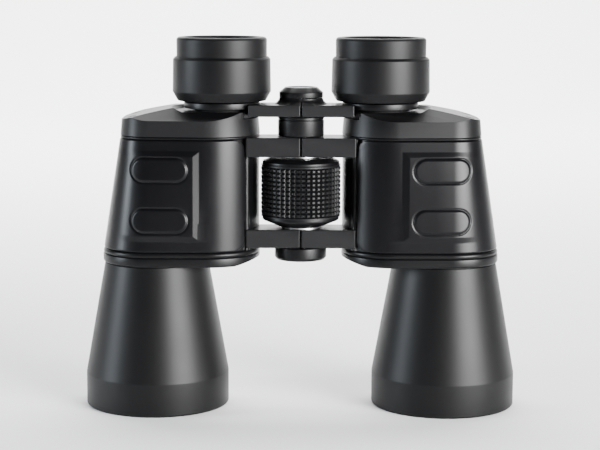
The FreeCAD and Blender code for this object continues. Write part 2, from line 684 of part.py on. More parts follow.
def build_clip(label, prism, above):
    """A spring clip bent over the ridge of a prism."""
    half = "prism_width / 2 + clip_thick"
    outside = primitive("Box", label + "_sheet", ("-clip_wide / 2", "-(%s)" % half, "0"),
                        Length="clip_wide", Width="2 * (%s)" % half, Height="prism_width + clip_thick")
    inside = primitive("Box", label + "_room", ("-clip_wide / 2", "-prism_width / 2", "0"),
                       Length="clip_wide", Width="prism_width", Height="prism_width")
    clip = boolean("Cut", label, outside, inside)
    clip.Placement = prism.Placement
    return place(clip, *PRISM_CENTRES[above])


clips = doc.addObject("Part::Compound", "right_prism_clips")
clips.Links = [build_clip("upper_clip", upper_prism, True), build_clip("lower_clip", lower_prism, False)]
mirrored("left_prism_clips", keep(clips))


def build_shelf():
    """The right-hand prism shelf, fitted to the housing, with three light ports."""
    base = size(SHELF_BASE)
    top = size(SHELF_TOP)
    fitted = size("armour_thick + wall + run")
    reach = 2 * size("axis_half")
    slab = block(0, reach, -reach, reach, base, top)
    shelf = housing_solid(size(FLOOR_TOP), size(HOUSING_TOP), inset=fitted).common(slab)
    half = size(HALF_SPAN)
    eye = size("eye_half")
    for x, y in ((eye, 0), (eye + half, half), (eye + 2 * half, 0)):
        shelf = shelf.cut(rod(size("port_r"), base - 1, top + 1, x, y))
    return shelf


mirrored("left_prism_shelf", shaped("right_prism_shelf", build_shelf()))

# --- Cover screws and strap lugs --------------------------------------------------------


def build_screws():
    """The three screws of the right-hand cover."""
    grip = size(HOUSING_TOP) + size("screw_grip")
    foot = size(HOUSING_TOP) - size("screw_reach")
    screws = []
    for spot in screw_places():
        shank = rod(size("screw_shank"), foot, grip, spot.x, spot.y)
        head = rod(size("screw_head"), grip, grip + size("screw_head_high"), spot.x, spot.y)
        screws.append(shank.fuse(head).removeSplitter())
    return Part.makeCompound(screws)


def build_strap_lug():
    """The right-hand strap lug, on the outer back corner of the cover."""
    base = size(HOUSING_TOP) + size("strap_up")
    round_back = size("back_round")
    axis = V(size("axis_half + outer_top") - round_back, size("back_face") - round_back, base)
    wide = size("strap_wide")
    reach = round_back + size("strap_out")
    lug = Part.makeBox(size("strap_out") * 2 - wide / 2, wide, size("strap_thick"))
    lug.translate(V(reach - size("strap_out") * 2, -wide / 2, 0))
    lug = lug.fuse(Part.makeCylinder(wide / 2, size("strap_thick"), V(reach - wide / 2, 0, 0)))
    hole = Part.makeCylinder(size("strap_hole"), size("strap_thick"), V(reach - wide / 2, 0, 0))
    lug = lug.cut(hole)
    lug.rotate(V(0, 0, 0), UP, size("strap_turn"))
    lug.translate(axis)
    solid = lug.cut(cover_band())
    return max(solid.Solids, key=lambda part: part.Volume)


mirrored("left_cover_screws", shaped("right_cover_screws", build_screws()))
mirrored("left_strap_lug", shaped("right_strap_lug", build_strap_lug()))

# --- Eyepieces ------------------------------------------------------------------------

guide = tube("right_guide_tube", "ocular_r + run", "ocular_r + run + guide_wall",
             SEAT + " - guide_reach", SEAT, "eye_half")
mirrored("left_guide_tube", keep(guide))

OCULAR = [
    ("ocular_r - ocular_wall", SEAT + " - ocular_reach"), ("ocular_r", SEAT + " - ocular_reach"),
    ("ocular_r", HEAD), ("head_r", HEAD), ("head_r", HEAD_TOP), ("eye_lens_r", HEAD_TOP),
    ("eye_lens_r", FIELD_LENS), ("ocular_r - ocular_wall", FIELD_LENS),
]
mirrored("left_eyepiece_barrel", keep(turned("right_eyepiece_barrel", OCULAR, "eye_half")))

blank = primitive("Cylinder", "field_blank", ("eye_half", "0", FIELD_LENS),
                  Radius="eye_lens_r", Height="field_thick")
ball = primitive("Sphere", "field_ball", ("eye_half", "0", SPACER + " - eye_curve"), Radius="eye_curve")
mirrored("left_field_lens", keep(boolean("Common", "right_field_lens", blank, ball)))

spacer = tube("right_lens_spacer", "eye_lens_r - eye_ledge", "eye_lens_r", SPACER, EYE_LENS, "eye_half")
mirrored("left_lens_spacer", keep(spacer))

blank = primitive("Cylinder", "eye_blank", ("eye_half", "0", EYE_LENS),
                  Radius="eye_lens_r", Height="eye_thick")
ball = primitive("Sphere", "eye_ball", ("eye_half", "0", LOCK_RING + " - eye_curve"), Radius="eye_curve")
mirrored("left_eye_lens", keep(boolean("Common", "right_eye_lens", blank, ball)))

lock = tube("right_lock_ring", "eye_lens_r - eye_ledge", "eye_lens_r", LOCK_RING,
            LOCK_RING + " + lock_thick", "eye_half")
mirrored("left_lock_ring", keep(lock))

SLEEVE_PROFILE = [
    ("head_r + run", SLEEVE), ("sleeve_foot_r", SLEEVE), ("sleeve_r", SLEEVE + " + sleeve_foot"),
    ("sleeve_top_r", SLEEVE + " + sleeve_foot + sleeve_side"), ("cup_r + cup_gap", SLEEVE_TOP),
    ("cup_r + cup_gap", SLEEVE + " + pocket_floor"), ("head_r + run", SLEEVE + " + pocket_floor"),
]
mirrored("left_eyepiece_sleeve", keep(turned("right_dioptre_ring", SLEEVE_PROFILE, "eye_half")))

EYECUP = [
    ("cup_r - cup_wall", SLEEVE_TOP + " - cup_tail"), ("cup_r", SLEEVE_TOP + " - cup_tail"),
    ("cup_r", CUP_TOP + " - cup_round"), ("cup_r - cup_round", CUP_TOP),
    ("cup_r - cup_wall + cup_round", CUP_TOP), ("cup_r - cup_wall", CUP_TOP + " - cup_round"),
]
mirrored("left_eyecup", keep(turned("right_eyecup", EYECUP, "eye_half")))


def build_bridge(owns_low, bore, ring_bore, flare_top):
    """The right-hand bridge arm: hinge arm, flare and eyepiece ring."""
    base = size(BRIDGE)
    top = size(BRIDGE_TOP)
    eye = size("eye_half")
    seat = size(RING)
    arm = hinge_arm(base, top, size("bridge_in"), owns_low, bore, flare_top)
    arm = arm.cut(rod(size("ocular_r + run + guide_wall + apart"), base - 1, seat, eye, 0))
    arm = arm.fuse(rod(size("ring_r"), seat, size(RING_TOP), eye, 0))
    return arm.cut(rod(ring_bore, base - 1, size(RING_TOP) + 1, eye, 0)).removeSplitter()


right_flare = size(GABLE_TOP) - size("apart")
shaped("right_bridge_arm", build_bridge(False, size("spindle_r + run"), size("ocular_r + run"), right_flare))
left_bridge = build_bridge(True, size("spindle_r"), size("ocular_r"), size(GABLE_TOP))
shaped("left_bridge_arm", left_hand(left_bridge))

# --- Centre hinge and focusing --------------------------------------------------------

HINGE_Y = "-hinge_ahead"
AXLE_TOP = "(%s + axle_over)" % HIGH_LUG_TOP
NOSE = "(%s - nose_len)" % LOW_LUG
SOCKET_TOP = "(%s + socket_len)" % NOSE
AXLE = [
    ("socket_r", NOSE), ("axle_r", NOSE), ("axle_r", AXLE_TOP), ("axle_bore", AXLE_TOP),
    ("axle_bore", SOCKET_TOP), ("socket_r", SOCKET_TOP),
]
keep(turned("hinge_axle", AXLE, "0", HINGE_Y))
keep(tube("tripod_socket", "thread_r", "socket_r", NOSE, SOCKET_TOP, "0", HINGE_Y))

NUT_BASE = "(%s + apart)" % HIGH_LUG_TOP
keep(tube("hinge_nut", "axle_r", "nut_r", NUT_BASE, NUT_BASE + " + nut_high", "0", HINGE_Y))
TUBE_TOP = "(%s - tube_gap)" % BRIDGE
FOCUS_TUBE = [
    ("nut_r", NUT_BASE), ("tube_r", NUT_BASE), ("tube_r", TUBE_TOP), ("spindle_bore", TUBE_TOP),
    ("spindle_bore", TUBE_TOP + " - tube_roof"), ("nut_r", TUBE_TOP + " - tube_roof"),
]
keep(turned("focus_tube", FOCUS_TUBE, "0", HINGE_Y))

washers = doc.addObject("Part::Compound", "hinge_washers")
low_washer = tube("low_washer", "axle_r", "washer_r", LOW_LUG_TOP,
                  LOW_LUG_TOP + " + washer_thick", "0", HINGE_Y)
high_washer = tube("high_washer", "axle_r", "washer_r", HIGH_LUG + " - washer_thick",
                   HIGH_LUG, "0", HINGE_Y)
washers.Links = [low_washer, high_washer]
keep(washers)

GRIP_BASE = "(%s + low_cone + rim_wide)" % WHEEL_BASE
GRIP_TOP = "(%s - high_cone - rim_wide)" % WHEEL_TOP
WHEEL = [
    ("axle_r + run", WHEEL_BASE), ("wheel_base_r", WHEEL_BASE), ("rim_r", WHEEL_BASE + " + low_cone"),
    ("rim_r", GRIP_BASE), ("wheel_r - grip_thick", GRIP_BASE), ("wheel_r - grip_thick", GRIP_TOP),
    ("rim_r", GRIP_TOP), ("rim_r", WHEEL_TOP + " - high_cone"), ("wheel_top_r", WHEEL_TOP),
    ("axle_r + run", WHEEL_TOP),
]
keep(turned("focus_wheel_core", WHEEL, "0", HINGE_Y))
keep(tube("focus_wheel_grip", "wheel_r - grip_thick", "wheel_r", GRIP_BASE, GRIP_TOP, "0", HINGE_Y))

SPINDLE = [("0", BRIDGE + " - spindle_drop"), ("spindle_r", BRIDGE + " - spindle_drop"),
           ("spindle_r", GABLE_TOP), ("0", GABLE_TOP)]
keep(turned("focus_spindle", SPINDLE, "0", HINGE_Y))
CAP_SIDE = "(%s + hub_side)" % GABLE_TOP
BRIDGE_CAP = [("0", GABLE_TOP), ("hub_r", GABLE_TOP), ("hub_r", CAP_SIDE),
              ("hub_top_r", CAP_SIDE + " + hub_cone"), ("0", CAP_SIDE + " + hub_cone")]
keep(turned("bridge_cap", BRIDGE_CAP, "0", HINGE_Y))

CAP_TOP = "(%s - apart)" % LOW_LUG
TRIPOD_CAP = [
    ("0", CAP_TOP + " - cap_high"), ("cap_r - cap_bevel", CAP_TOP + " - cap_high"),
    ("cap_r", CAP_TOP + " - cap_high + cap_bevel"), ("cap_r", CAP_TOP), ("axle_r + run", CAP_TOP),
    ("axle_r + run", NOSE + " - apart"), ("0", NOSE + " - apart"),
]
keep(turned("tripod_cap", TRIPOD_CAP, "0", HINGE_Y))

# --- Check and export -----------------------------------------------------------------

doc.recompute()
for thing in doc.Objects:
    faults = [state for state in thing.State if state in ("Invalid", "Error")]
    if faults:
        raise RuntimeError("%s is %s" % (thing.Label, faults))
for piece in pieces:
    if piece.Shape.isNull() or not piece.Shape.isValid() or not piece.Shape.Solids:
        raise RuntimeError("%s has no sound shape" % piece.Label)

os.makedirs("parts", exist_ok=True)
for piece in pieces:
    piece.Shape.exportStep("parts/%s.step" % piece.Label)
    bounds = piece.Shape.BoundBox
    print("%-26s z %.1f to %.1f" % (piece.Label, bounds.ZMin, bounds.ZMax))
print("%d pieces" % len(pieces))
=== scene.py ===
"""Porro-prism binoculars: fine meshes, finishes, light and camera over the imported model.

Sizes are in millimetres, in the model's own frame: +Z toward the eyepieces, +Y to the
back, X across the pair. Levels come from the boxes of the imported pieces.
"""

from __future__ import annotations

import json
import logging
import math
from dataclasses import dataclass
from enum import Enum
from typing import Sequence

import bmesh
import bpy
from mathutils import Matrix, Vector

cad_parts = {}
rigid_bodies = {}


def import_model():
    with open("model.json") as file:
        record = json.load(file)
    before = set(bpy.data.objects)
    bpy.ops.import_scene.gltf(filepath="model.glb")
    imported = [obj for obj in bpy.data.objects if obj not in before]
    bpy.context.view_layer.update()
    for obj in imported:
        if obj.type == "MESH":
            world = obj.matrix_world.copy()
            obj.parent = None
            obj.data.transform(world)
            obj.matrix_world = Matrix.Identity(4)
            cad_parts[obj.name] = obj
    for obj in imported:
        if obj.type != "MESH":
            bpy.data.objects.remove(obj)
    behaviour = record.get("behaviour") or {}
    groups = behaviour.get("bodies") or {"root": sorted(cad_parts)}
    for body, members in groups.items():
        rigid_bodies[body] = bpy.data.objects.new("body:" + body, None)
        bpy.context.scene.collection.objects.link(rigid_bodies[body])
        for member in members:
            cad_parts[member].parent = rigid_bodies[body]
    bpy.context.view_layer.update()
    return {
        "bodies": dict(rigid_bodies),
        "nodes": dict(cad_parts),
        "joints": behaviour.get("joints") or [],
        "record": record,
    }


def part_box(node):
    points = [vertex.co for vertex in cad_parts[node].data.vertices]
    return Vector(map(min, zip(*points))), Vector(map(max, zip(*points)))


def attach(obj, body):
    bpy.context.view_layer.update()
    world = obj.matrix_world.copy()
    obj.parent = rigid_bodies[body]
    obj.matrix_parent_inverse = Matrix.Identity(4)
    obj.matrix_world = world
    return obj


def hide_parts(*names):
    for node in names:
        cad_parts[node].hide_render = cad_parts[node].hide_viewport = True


MM = 0.001
LOG = logging.getLogger("binoculars")

Point = tuple[float, float]
Corner = tuple[float, float, float]


class Side(Enum):
    """Which half of the pair a piece belongs to."""

    LEFT = -1
    RIGHT = 1

    def node(self, name: str) -> str:
        """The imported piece's name on this side."""
        return f"{self.name.lower()}_{name}"


# --- Mesh tools -----------------------------------------------------------------------


def node_box(node: str) -> tuple[Vector, Vector]:
    """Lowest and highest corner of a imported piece, in millimetres.

    Args:
        node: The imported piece.

    Returns:
        The two corners.
    """
    low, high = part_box(node)
    return Vector(low) / MM, Vector(high) / MM


def mesh_object(
    name: str,
    verts: Sequence[Sequence[float]],
    faces: Sequence[Sequence[int]],
    side: Side = Side.RIGHT,
    crease: float = 35.0,
) -> bpy.types.Object:
    """Make a smooth object from points in millimetres.

    Args:
        name: Name of the piece.
        verts: Points, drawn for the right-hand half.
        faces: Corner numbers of each face.
        side: The left side mirrors the points.
        crease: Edges that bend by more than this many degrees stay sharp.

    Returns:
        The new object, in the scene.
    """
    mesh = bpy.data.meshes.new(name)
    flip = side.value
    mesh.from_pydata([(x * flip * MM, y * MM, z * MM) for x, y, z in verts], [], faces)
    work = bmesh.new()
    work.from_mesh(mesh)
    bmesh.ops.remove_doubles(work, verts=work.verts, dist=2e-6)
    bmesh.ops.recalc_face_normals(work, faces=work.faces)
    mark_creases(work, crease)
    work.to_mesh(mesh)
    work.free()
    piece = bpy.data.objects.new(name, mesh)
    bpy.context.scene.collection.objects.link(piece)
    return piece


def mark_creases(work: bmesh.types.BMesh, crease: float) -> None:
    """Shade every face smooth and keep the sharp edges sharp.

    Args:
        work: The mesh being edited.
        crease: Edges that bend by more than this many degrees stay sharp.
    """
    limit = math.radians(crease)
    for face in work.faces:
        face.smooth = True
    for edge in work.edges:
        edge.smooth = not (edge.is_manifold and edge.calc_face_angle(0.0) > limit)


def rounded(corners: Sequence[Corner], steps: int = 6) -> list[Point]:
    """Round the corners of a closed outline.

    Args:
        corners: Two coordinates and a rounding radius each.
        steps: Segments in each rounding.

    Returns:
        The outline's points.
    """
    points: list[Point] = []
    count = len(corners)
    for index, (a, b, radius) in enumerate(corners):
        here = Vector((a, b))
        if radius <= 0.0:
            points.append((a, b))
            continue
        before = Vector(corners[index - 1][:2]) - here
        after = Vector(corners[(index + 1) % count][:2]) - here
        half = before.angle(after) / 2
        room = 0.49 * min(before.length, after.length)
        reach = min(radius / math.tan(half), room)
        fit = reach * math.tan(half)
        centre = here + (before.normalized() + after.normalized()).normalized() * (fit / math.sin(half))
        start = here + before.normalized() * reach - centre
        end = here + after.normalized() * reach - centre
        turn = start.angle_signed(end)
        first = math.atan2(start.y, start.x)
        for step in range(steps + 1):
            angle = first - turn * step / steps
            points.append((centre.x + fit * math.cos(angle), centre.y + fit * math.sin(angle)))
    return points


def lathe(
    name: str,
    profile: Sequence[Point],
    centre: Point,
    side: Side = Side.RIGHT,
    segments: int = 160,
) -> bpy.types.Object:
    """Turn a closed outline of (radius, height) about an upright axis.

    Args:
        name: Name of the piece.
        profile: Outline in millimetres, radius first.
        centre: Where the axis stands.
        side: The left side mirrors the piece.
        segments: Steps round the turn.

    Returns:
        The turned object.
    """
    count = len(profile)
    verts = []
    faces = []
    for turn in range(segments):
        angle = math.tau * turn / segments
        for radius, height in profile:
            x = centre[0] + radius * math.cos(angle)
            verts.append((x, centre[1] + radius * math.sin(angle), height))
        ahead = (turn + 1) % segments
        for index in range(count):
            follower = (index + 1) % count
            if profile[index][0] < 1e-6 and profile[follower][0] < 1e-6:
                continue
            faces.append((turn * count + index, ahead * count + index,
                          ahead * count + follower, turn * count + follower))
    return mesh_object(name, verts, faces, side)


def loft(
    name: str, rings: Sequence[Sequence[Sequence[float]]], side: Side = Side.RIGHT, crease: float = 35.0
) -> bpy.types.Object:
    """Join closed rings of equal length, and close both ends.

    Args:
        name: Name of the piece.
        rings: Rings of points, one above the other.
        side: The left side mirrors the piece.
        crease: Edges that bend by more than this many degrees stay sharp.

    Returns:
        The lofted object.
    """
    count = len(rings[0])
    verts = [point for ring in rings for point in ring]
    faces: list[tuple[int, ...]] = []
    for level in range(len(rings) - 1):
        for index in range(count):
            follower = (index + 1) % count
            low, high = level * count, (level + 1) * count
            faces.append((low + index, low + follower, high + follower, high + index))
    faces.append(tuple(range(count)))
    last = (len(rings) - 1) * count
    faces.append(tuple(range(last, last + count)))
    return mesh_object(name, verts, faces, side, crease)


def slab(outline: Sequence[Point], base: float, top: float) -> list[list[Corner]]:
    """Two rings that extrude an outline between two levels."""
    return [[(x, y, level) for x, y in outline] for level in (base, top)]


def smooth_step(value: float, low: float, high: float) -> float:
    """Ease from 0 at low to 1 at high."""
    share = min(max((value - low) / (high - low), 0.0), 1.0)
    return share * share * (3.0 - 2.0 * share)


def ramp(value: float, low: float, high: float) -> float:
    """Rise straight from 0 at low to 1 at high."""
    return min(max((value - low) / (high - low), 0.0), 1.0)


def soften(
    piece: bpy.types.Object, width: float, angle: float = 32.0, segments: int = 3
) -> bpy.types.Object:
    """Round the sharp edges of a piece.

    Args:
        piece: The piece to round.
        width: Width of the rounding in millimetres.
        angle: Edges that bend by more than this many degrees are rounded.
        segments: Steps across the rounding.

    Returns:
        The same piece.
    """
    bevel = piece.modifiers.new("rounding", "BEVEL")
    bevel.width = width * MM
    bevel.segments = segments
    bevel.limit_method = "ANGLE"
    bevel.angle_limit = math.radians(angle)
    bevel.harden_normals = True
    return piece


def carve(piece: bpy.types.Object, tools: Sequence[bpy.types.Object]) -> bpy.types.Object:
    """Cut tools out of a piece and keep the result as its mesh.

    Args:
        piece: The piece to cut.
        tools: Objects to cut away; they are removed from the scene.

    Returns:
        The same piece.
    """
    for tool in tools:
        cut = piece.modifiers.new("cut", "BOOLEAN")
        cut.operation = "DIFFERENCE"
        cut.solver = "EXACT"
        cut.object = tool
    graph = bpy.context.evaluated_depsgraph_get()
    result = bpy.data.meshes.new_from_object(piece.evaluated_get(graph))
    piece.modifiers.clear()
    piece.data = result
    for tool in tools:
        bpy.data.objects.remove(tool)
    work = bmesh.new()
    work.from_mesh(result)
    bmesh.ops.remove_doubles(work, verts=work.verts, dist=2e-6)
    mark_creases(work, 32.0)
    work.to_mesh(result)
    work.free()
    return piece


# --- Finishes -------------------------------------------------------------------------


def new_group(
    name: str, inputs: Sequence[tuple[str, str, object]], outputs: Sequence[tuple[str, str]]
) -> tuple[bpy.types.NodeTree, bpy.types.Node, bpy.types.Node]:
    """Make an empty shader group.

    Args:
        name: Name of the group.
        inputs: Name, socket type and default of each input.
        outputs: Name and socket type of each output.

    Returns:
        The group, its input node and its output node.
    """
    group = bpy.data.node_groups.new(name, "ShaderNodeTree")
    for label, kind, default in inputs:
        socket = group.interface.new_socket(name=label, in_out="INPUT", socket_type=kind)
        if default is not None:
            socket.default_value = default
    for label, kind in outputs:
        group.interface.new_socket(name=label, in_out="OUTPUT", socket_type=kind)
    return group, group.nodes.new("NodeGroupInput"), group.nodes.new("NodeGroupOutput")


def wire(
    tree: bpy.types.NodeTree, *joins: tuple[bpy.types.Node, str | int, bpy.types.Node, str | int]
) -> None:
    """Join outputs to inputs.

    Args:
        tree: The node tree.
        joins: Source node, its output, target node and its input, for each link.
    """
    for source, output, target, entry in joins:
        tree.links.new(source.outputs[output], target.inputs[entry])


def grain_group() -> bpy.types.NodeTree:
    """Fine moulded or sprayed grain: a height and a mask over the surface.

    Returns:
        The shader group.
    """
    group, source, sink = new_group(
        "moulded_grain",
        [("Scale", "NodeSocketFloat", 2500.0), ("Softness", "NodeSocketFloat", 0.5)],
        [("Height", "NodeSocketFloat"), ("Mask", "NodeSocketFloat")],
    )
    nodes = group.nodes
    place = nodes.new("ShaderNodeTexCoord")
    noise = nodes.new("ShaderNodeTexNoise")
    noise.inputs["Detail"].default_value = 3.0
    cells = nodes.new("ShaderNodeTexVoronoi")
    cells.feature = "SMOOTH_F1"
    blend = nodes.new("ShaderNodeMix")
    blend.data_type = "FLOAT"
    wire(
        group,
        (place, "Object", noise, "Vector"), (place, "Object", cells, "Vector"),
        (source, "Scale", noise, "Scale"), (source, "Scale", cells, "Scale"),
        (source, "Softness", blend, 0), (cells, "Distance", blend, 2), (noise, "Fac", blend, 3),
        (blend, 0, sink, "Height"), (noise, "Fac", sink, "Mask"),
    )
    return group


def handling_group() -> bpy.types.NodeTree:
    """Slow changes of tone and gloss, as handling leaves them.

    Returns:
        The shader group.
    """
    group, source, sink = new_group(
        "handling_marks",
        [("Colour", "NodeSocketColor", (0.02, 0.02, 0.02, 1.0)), ("Roughness", "NodeSocketFloat", 0.5),
         ("Spread", "NodeSocketFloat", 0.05), ("Tone", "NodeSocketFloat", 0.15)],
        [("Colour", "NodeSocketColor"), ("Roughness", "NodeSocketFloat")],
    )
    nodes = group.nodes
    place = nodes.new("ShaderNodeTexCoord")
    cloud = nodes.new("ShaderNodeTexNoise")
    cloud.inputs["Scale"].default_value = 38.0
    cloud.inputs["Detail"].default_value = 5.0
    centred = nodes.new("ShaderNodeMath")
    centred.operation = "SUBTRACT"
    centred.inputs[1].default_value = 0.5
    gloss = nodes.new("ShaderNodeMath")
    gloss.operation = "MULTIPLY_ADD"
    shade = nodes.new("ShaderNodeMath")
    shade.operation = "MULTIPLY_ADD"
    shade.inputs[2].default_value = 1.0
    tint = nodes.new("ShaderNodeVectorMath")
    tint.operation = "SCALE"
    wire(
        group,
        (place, "Object", cloud, "Vector"), (cloud, "Fac", centred, 0), (centred, 0, gloss, 0),
        (source, "Spread", gloss, 1), (source, "Roughness", gloss, 2), (centred, 0, shade, 0),
        (source, "Tone", shade, 1), (source, "Colour", tint, 0), (shade, 0, tint, "Scale"),
        (tint, "Vector", sink, "Colour"), (gloss, 0, sink, "Roughness"),
    )
    return group


def rub_group() -> bpy.types.NodeTree:
    """Edges rubbed a little lighter than the faces.

    Returns:
        The shader group.
    """
    group, source, sink = new_group(
        "rubbed_edges",
        [("Colour", "NodeSocketColor", (0.02, 0.02, 0.02, 1.0)),
         ("Worn", "NodeSocketColor", (0.06, 0.06, 0.06, 1.0)), ("Amount", "NodeSocketFloat", 0.5)],
        [("Colour", "NodeSocketColor"), ("Mask", "NodeSocketFloat")],
    )
    nodes = group.nodes
    shape = nodes.new("ShaderNodeNewGeometry")
    edge = nodes.new("ShaderNodeMapRange")
    edge.inputs["From Min"].default_value = 0.52
    edge.inputs["From Max"].default_value = 0.62
    amount = nodes.new("ShaderNodeMath")
    amount.operation = "MULTIPLY"
    mixer = nodes.new("ShaderNodeMix")
    mixer.data_type = "RGBA"
    wire(
        group,
        (shape, "Pointiness", edge, "Value"), (edge, "Result", amount, 0),
        (source, "Amount", amount, 1), (amount, 0, mixer, 0), (source, "Colour", mixer, 6),
        (source, "Worn", mixer, 7), (mixer, 2, sink, "Colour"), (amount, 0, sink, "Mask"),
    )
    return group


@dataclass(frozen=True)
class Finish:
    """One surface finish.

    Attributes:
        name: Name of the material.
        colour: Base colour.
        roughness: Mean roughness.
        spread: How far handling changes the roughness.
        tone: How far handling changes the tone.
        grain: Grains per metre.
        relief: Height of the grain in millimetres.
        softness: 0 for rounded cells, 1 for even noise.
        worn: How much the edges are rubbed.
        metallic: 1 for bare metal.
        specular: Specular level.
        sheen: Sheen of soft rubber.
        coat: Clear coat weight.
    """

    name: str
    colour: tuple[float, float, float]
    roughness: float
    spread: float = 0.08
    tone: float = 0.25
    grain: float = 2600.0
    relief: float = 0.010
    softness: float = 0.5
    worn: float = 0.25
    metallic: float = 0.0
    specular: float = 0.17
    sheen: float = 0.0
    coat: float = 0.0

    def build(self, groups: dict[str, bpy.types.NodeTree]) -> bpy.types.Material:
        """Make the material from the shared groups.

        Args:
            groups: The shared shader groups by name.

        Returns:
            The material.
        """
        material = bpy.data.materials.new(self.name)
        material.use_nodes = True
        nodes = material.node_tree.nodes
        shader = nodes["Principled BSDF"]
        shader.inputs["Metallic"].default_value = self.metallic
        shader.inputs["Specular IOR Level"].default_value = self.specular
        shader.inputs["Sheen Weight"].default_value = self.sheen
        shader.inputs["Coat Weight"].default_value = self.coat
        shader.inputs["Coat Roughness"].default_value = 0.12
        marks = nodes.new("ShaderNodeGroup")
        marks.node_tree = groups["handling"]
        marks.inputs["Colour"].default_value = (*self.colour, 1.0)
        marks.inputs["Roughness"].default_value = self.roughness
        marks.inputs["Spread"].default_value = self.spread
        marks.inputs["Tone"].default_value = self.tone
        rub = nodes.new("ShaderNodeGroup")
        rub.node_tree = groups["rub"]
        rub.inputs["Worn"].default_value = (*(min(1.0, 2.2 * part + 0.01) for part in self.colour), 1.0)
        rub.inputs["Amount"].default_value = self.worn
        grain = nodes.new("ShaderNodeGroup")
        grain.node_tree = groups["grain"]
        grain.inputs["Scale"].default_value = self.grain
        grain.inputs["Softness"].default_value = self.softness
        bump = nodes.new("ShaderNodeBump")
        bump.inputs["Strength"].default_value = 1.0
        bump.inputs["Distance"].default_value = self.relief * MM
        wire(
            material.node_tree,
            (marks, "Colour", rub, "Colour"), (rub, "Colour", shader, "Base Color"),
            (marks, "Roughness", shader, "Roughness"), (grain, "Height", bump, "Height"),
            (bump, "Normal", shader, "Normal"),
        )
        return material


@dataclass(frozen=True)
class Glass:
    """Clear glass with a coloured anti-reflection coating.

    Attributes:
        name: Name of the material.
        tint: Colour of the coating.
        body: Colour of the light that passes.
        blend: How much of the coating shows.
    """

    name: str
    tint: tuple[float, float, float]
    body: tuple[float, float, float]
    blend: float = 0.25

    def build(self, groups: dict[str, bpy.types.NodeTree]) -> bpy.types.Material:
        """Make the material, with faint dust in its roughness.

        Args:
            groups: The shared shader groups by name.

        Returns:
            The material.
        """
        material = bpy.data.materials.new(self.name)
        material.use_nodes = True
        nodes = material.node_tree.nodes
        shader = nodes["Principled BSDF"]
        shader.inputs["Transmission Weight"].default_value = 1.0
        shader.inputs["Metallic"].default_value = 0.0
        shader.inputs["IOR"].default_value = 1.52
        grain = nodes.new("ShaderNodeGroup")
        grain.node_tree = groups["grain"]
        grain.inputs["Scale"].default_value = 900.0
        dust = nodes.new("ShaderNodeMapRange")
        dust.inputs["From Min"].default_value = 0.6
        dust.inputs["From Max"].default_value = 0.9
        dust.inputs["To Min"].default_value = 0.01
        dust.inputs["To Max"].default_value = 0.12
        facing = nodes.new("ShaderNodeLayerWeight")
        facing.inputs["Blend"].default_value = self.blend
        colour = nodes.new("ShaderNodeMix")
        colour.data_type = "RGBA"
        colour.inputs[6].default_value = (*self.tint, 1.0)
        colour.inputs[7].default_value = (*self.body, 1.0)
        wire(
            material.node_tree,
            (facing, "Facing", colour, 0), (colour, 2, shader, "Base Color"),
            (grain, "Mask", dust, "Value"), (dust, "Result", shader, "Roughness"),
        )
        return material


FINISHES: dict[str, Finish | Glass] = {
    "body_paint": Finish("satin_black_paint", (0.002, 0.002, 0.0023), 0.36, relief=0.006, worn=0.5),
    "cover_paint": Finish("cover_black_paint", (0.0022, 0.0022, 0.0025), 0.42, relief=0.006, worn=0.35),
    "barrel_paint": Finish("barrel_black_paint", (0.002, 0.002, 0.0022), 0.44, relief=0.008, worn=0.2),
    "inner_black": Finish("dull_inner_black", (0.003, 0.003, 0.003), 0.75, worn=0.0),
    "armour_rubber": Finish("smooth_armour_rubber", (0.002, 0.002, 0.0025), 0.33, relief=0.005, worn=0.15),
    "sleeve_rubber": Finish("sleeve_rubber", (0.0022, 0.0022, 0.0025), 0.46, relief=0.010, worn=0.1),
    "eyecup_rubber": Finish("soft_cup_rubber", (0.0024, 0.0024, 0.0027), 0.48, relief=0.012, worn=0.1),
    "grip_rubber": Finish("knurled_grip_rubber", (0.002, 0.002, 0.0023), 0.36, relief=0.006, worn=0.5),
    "wheel_plastic": Finish("wheel_plastic", (0.0022, 0.0022, 0.0025), 0.36, relief=0.006),
    "hub_plastic": Finish("hub_plastic", (0.0024, 0.0024, 0.0027), 0.38, relief=0.006),
    "steel": Finish("turned_steel", (0.56, 0.56, 0.57), 0.28, metallic=1.0, grain=1500.0, relief=0.004),
    "spring_steel": Finish("spring_steel", (0.60, 0.60, 0.60), 0.32, metallic=1.0, relief=0.004),
    "black_steel": Finish("blackened_steel", (0.05, 0.05, 0.055), 0.35, metallic=1.0, worn=0.8),
    "cast_alloy": Finish("darkened_casting", (0.10, 0.10, 0.105), 0.55, metallic=1.0, relief=0.03),
    "brass": Finish("machined_brass", (0.70, 0.52, 0.24), 0.30, metallic=1.0, relief=0.004),
    "coated_glass": Glass("coated_glass", (0.55, 0.62, 0.95), (0.95, 0.85, 0.98)),
    "prism_glass": Glass("prism_glass", (0.92, 0.97, 0.97), (0.88, 0.95, 0.95)),
}


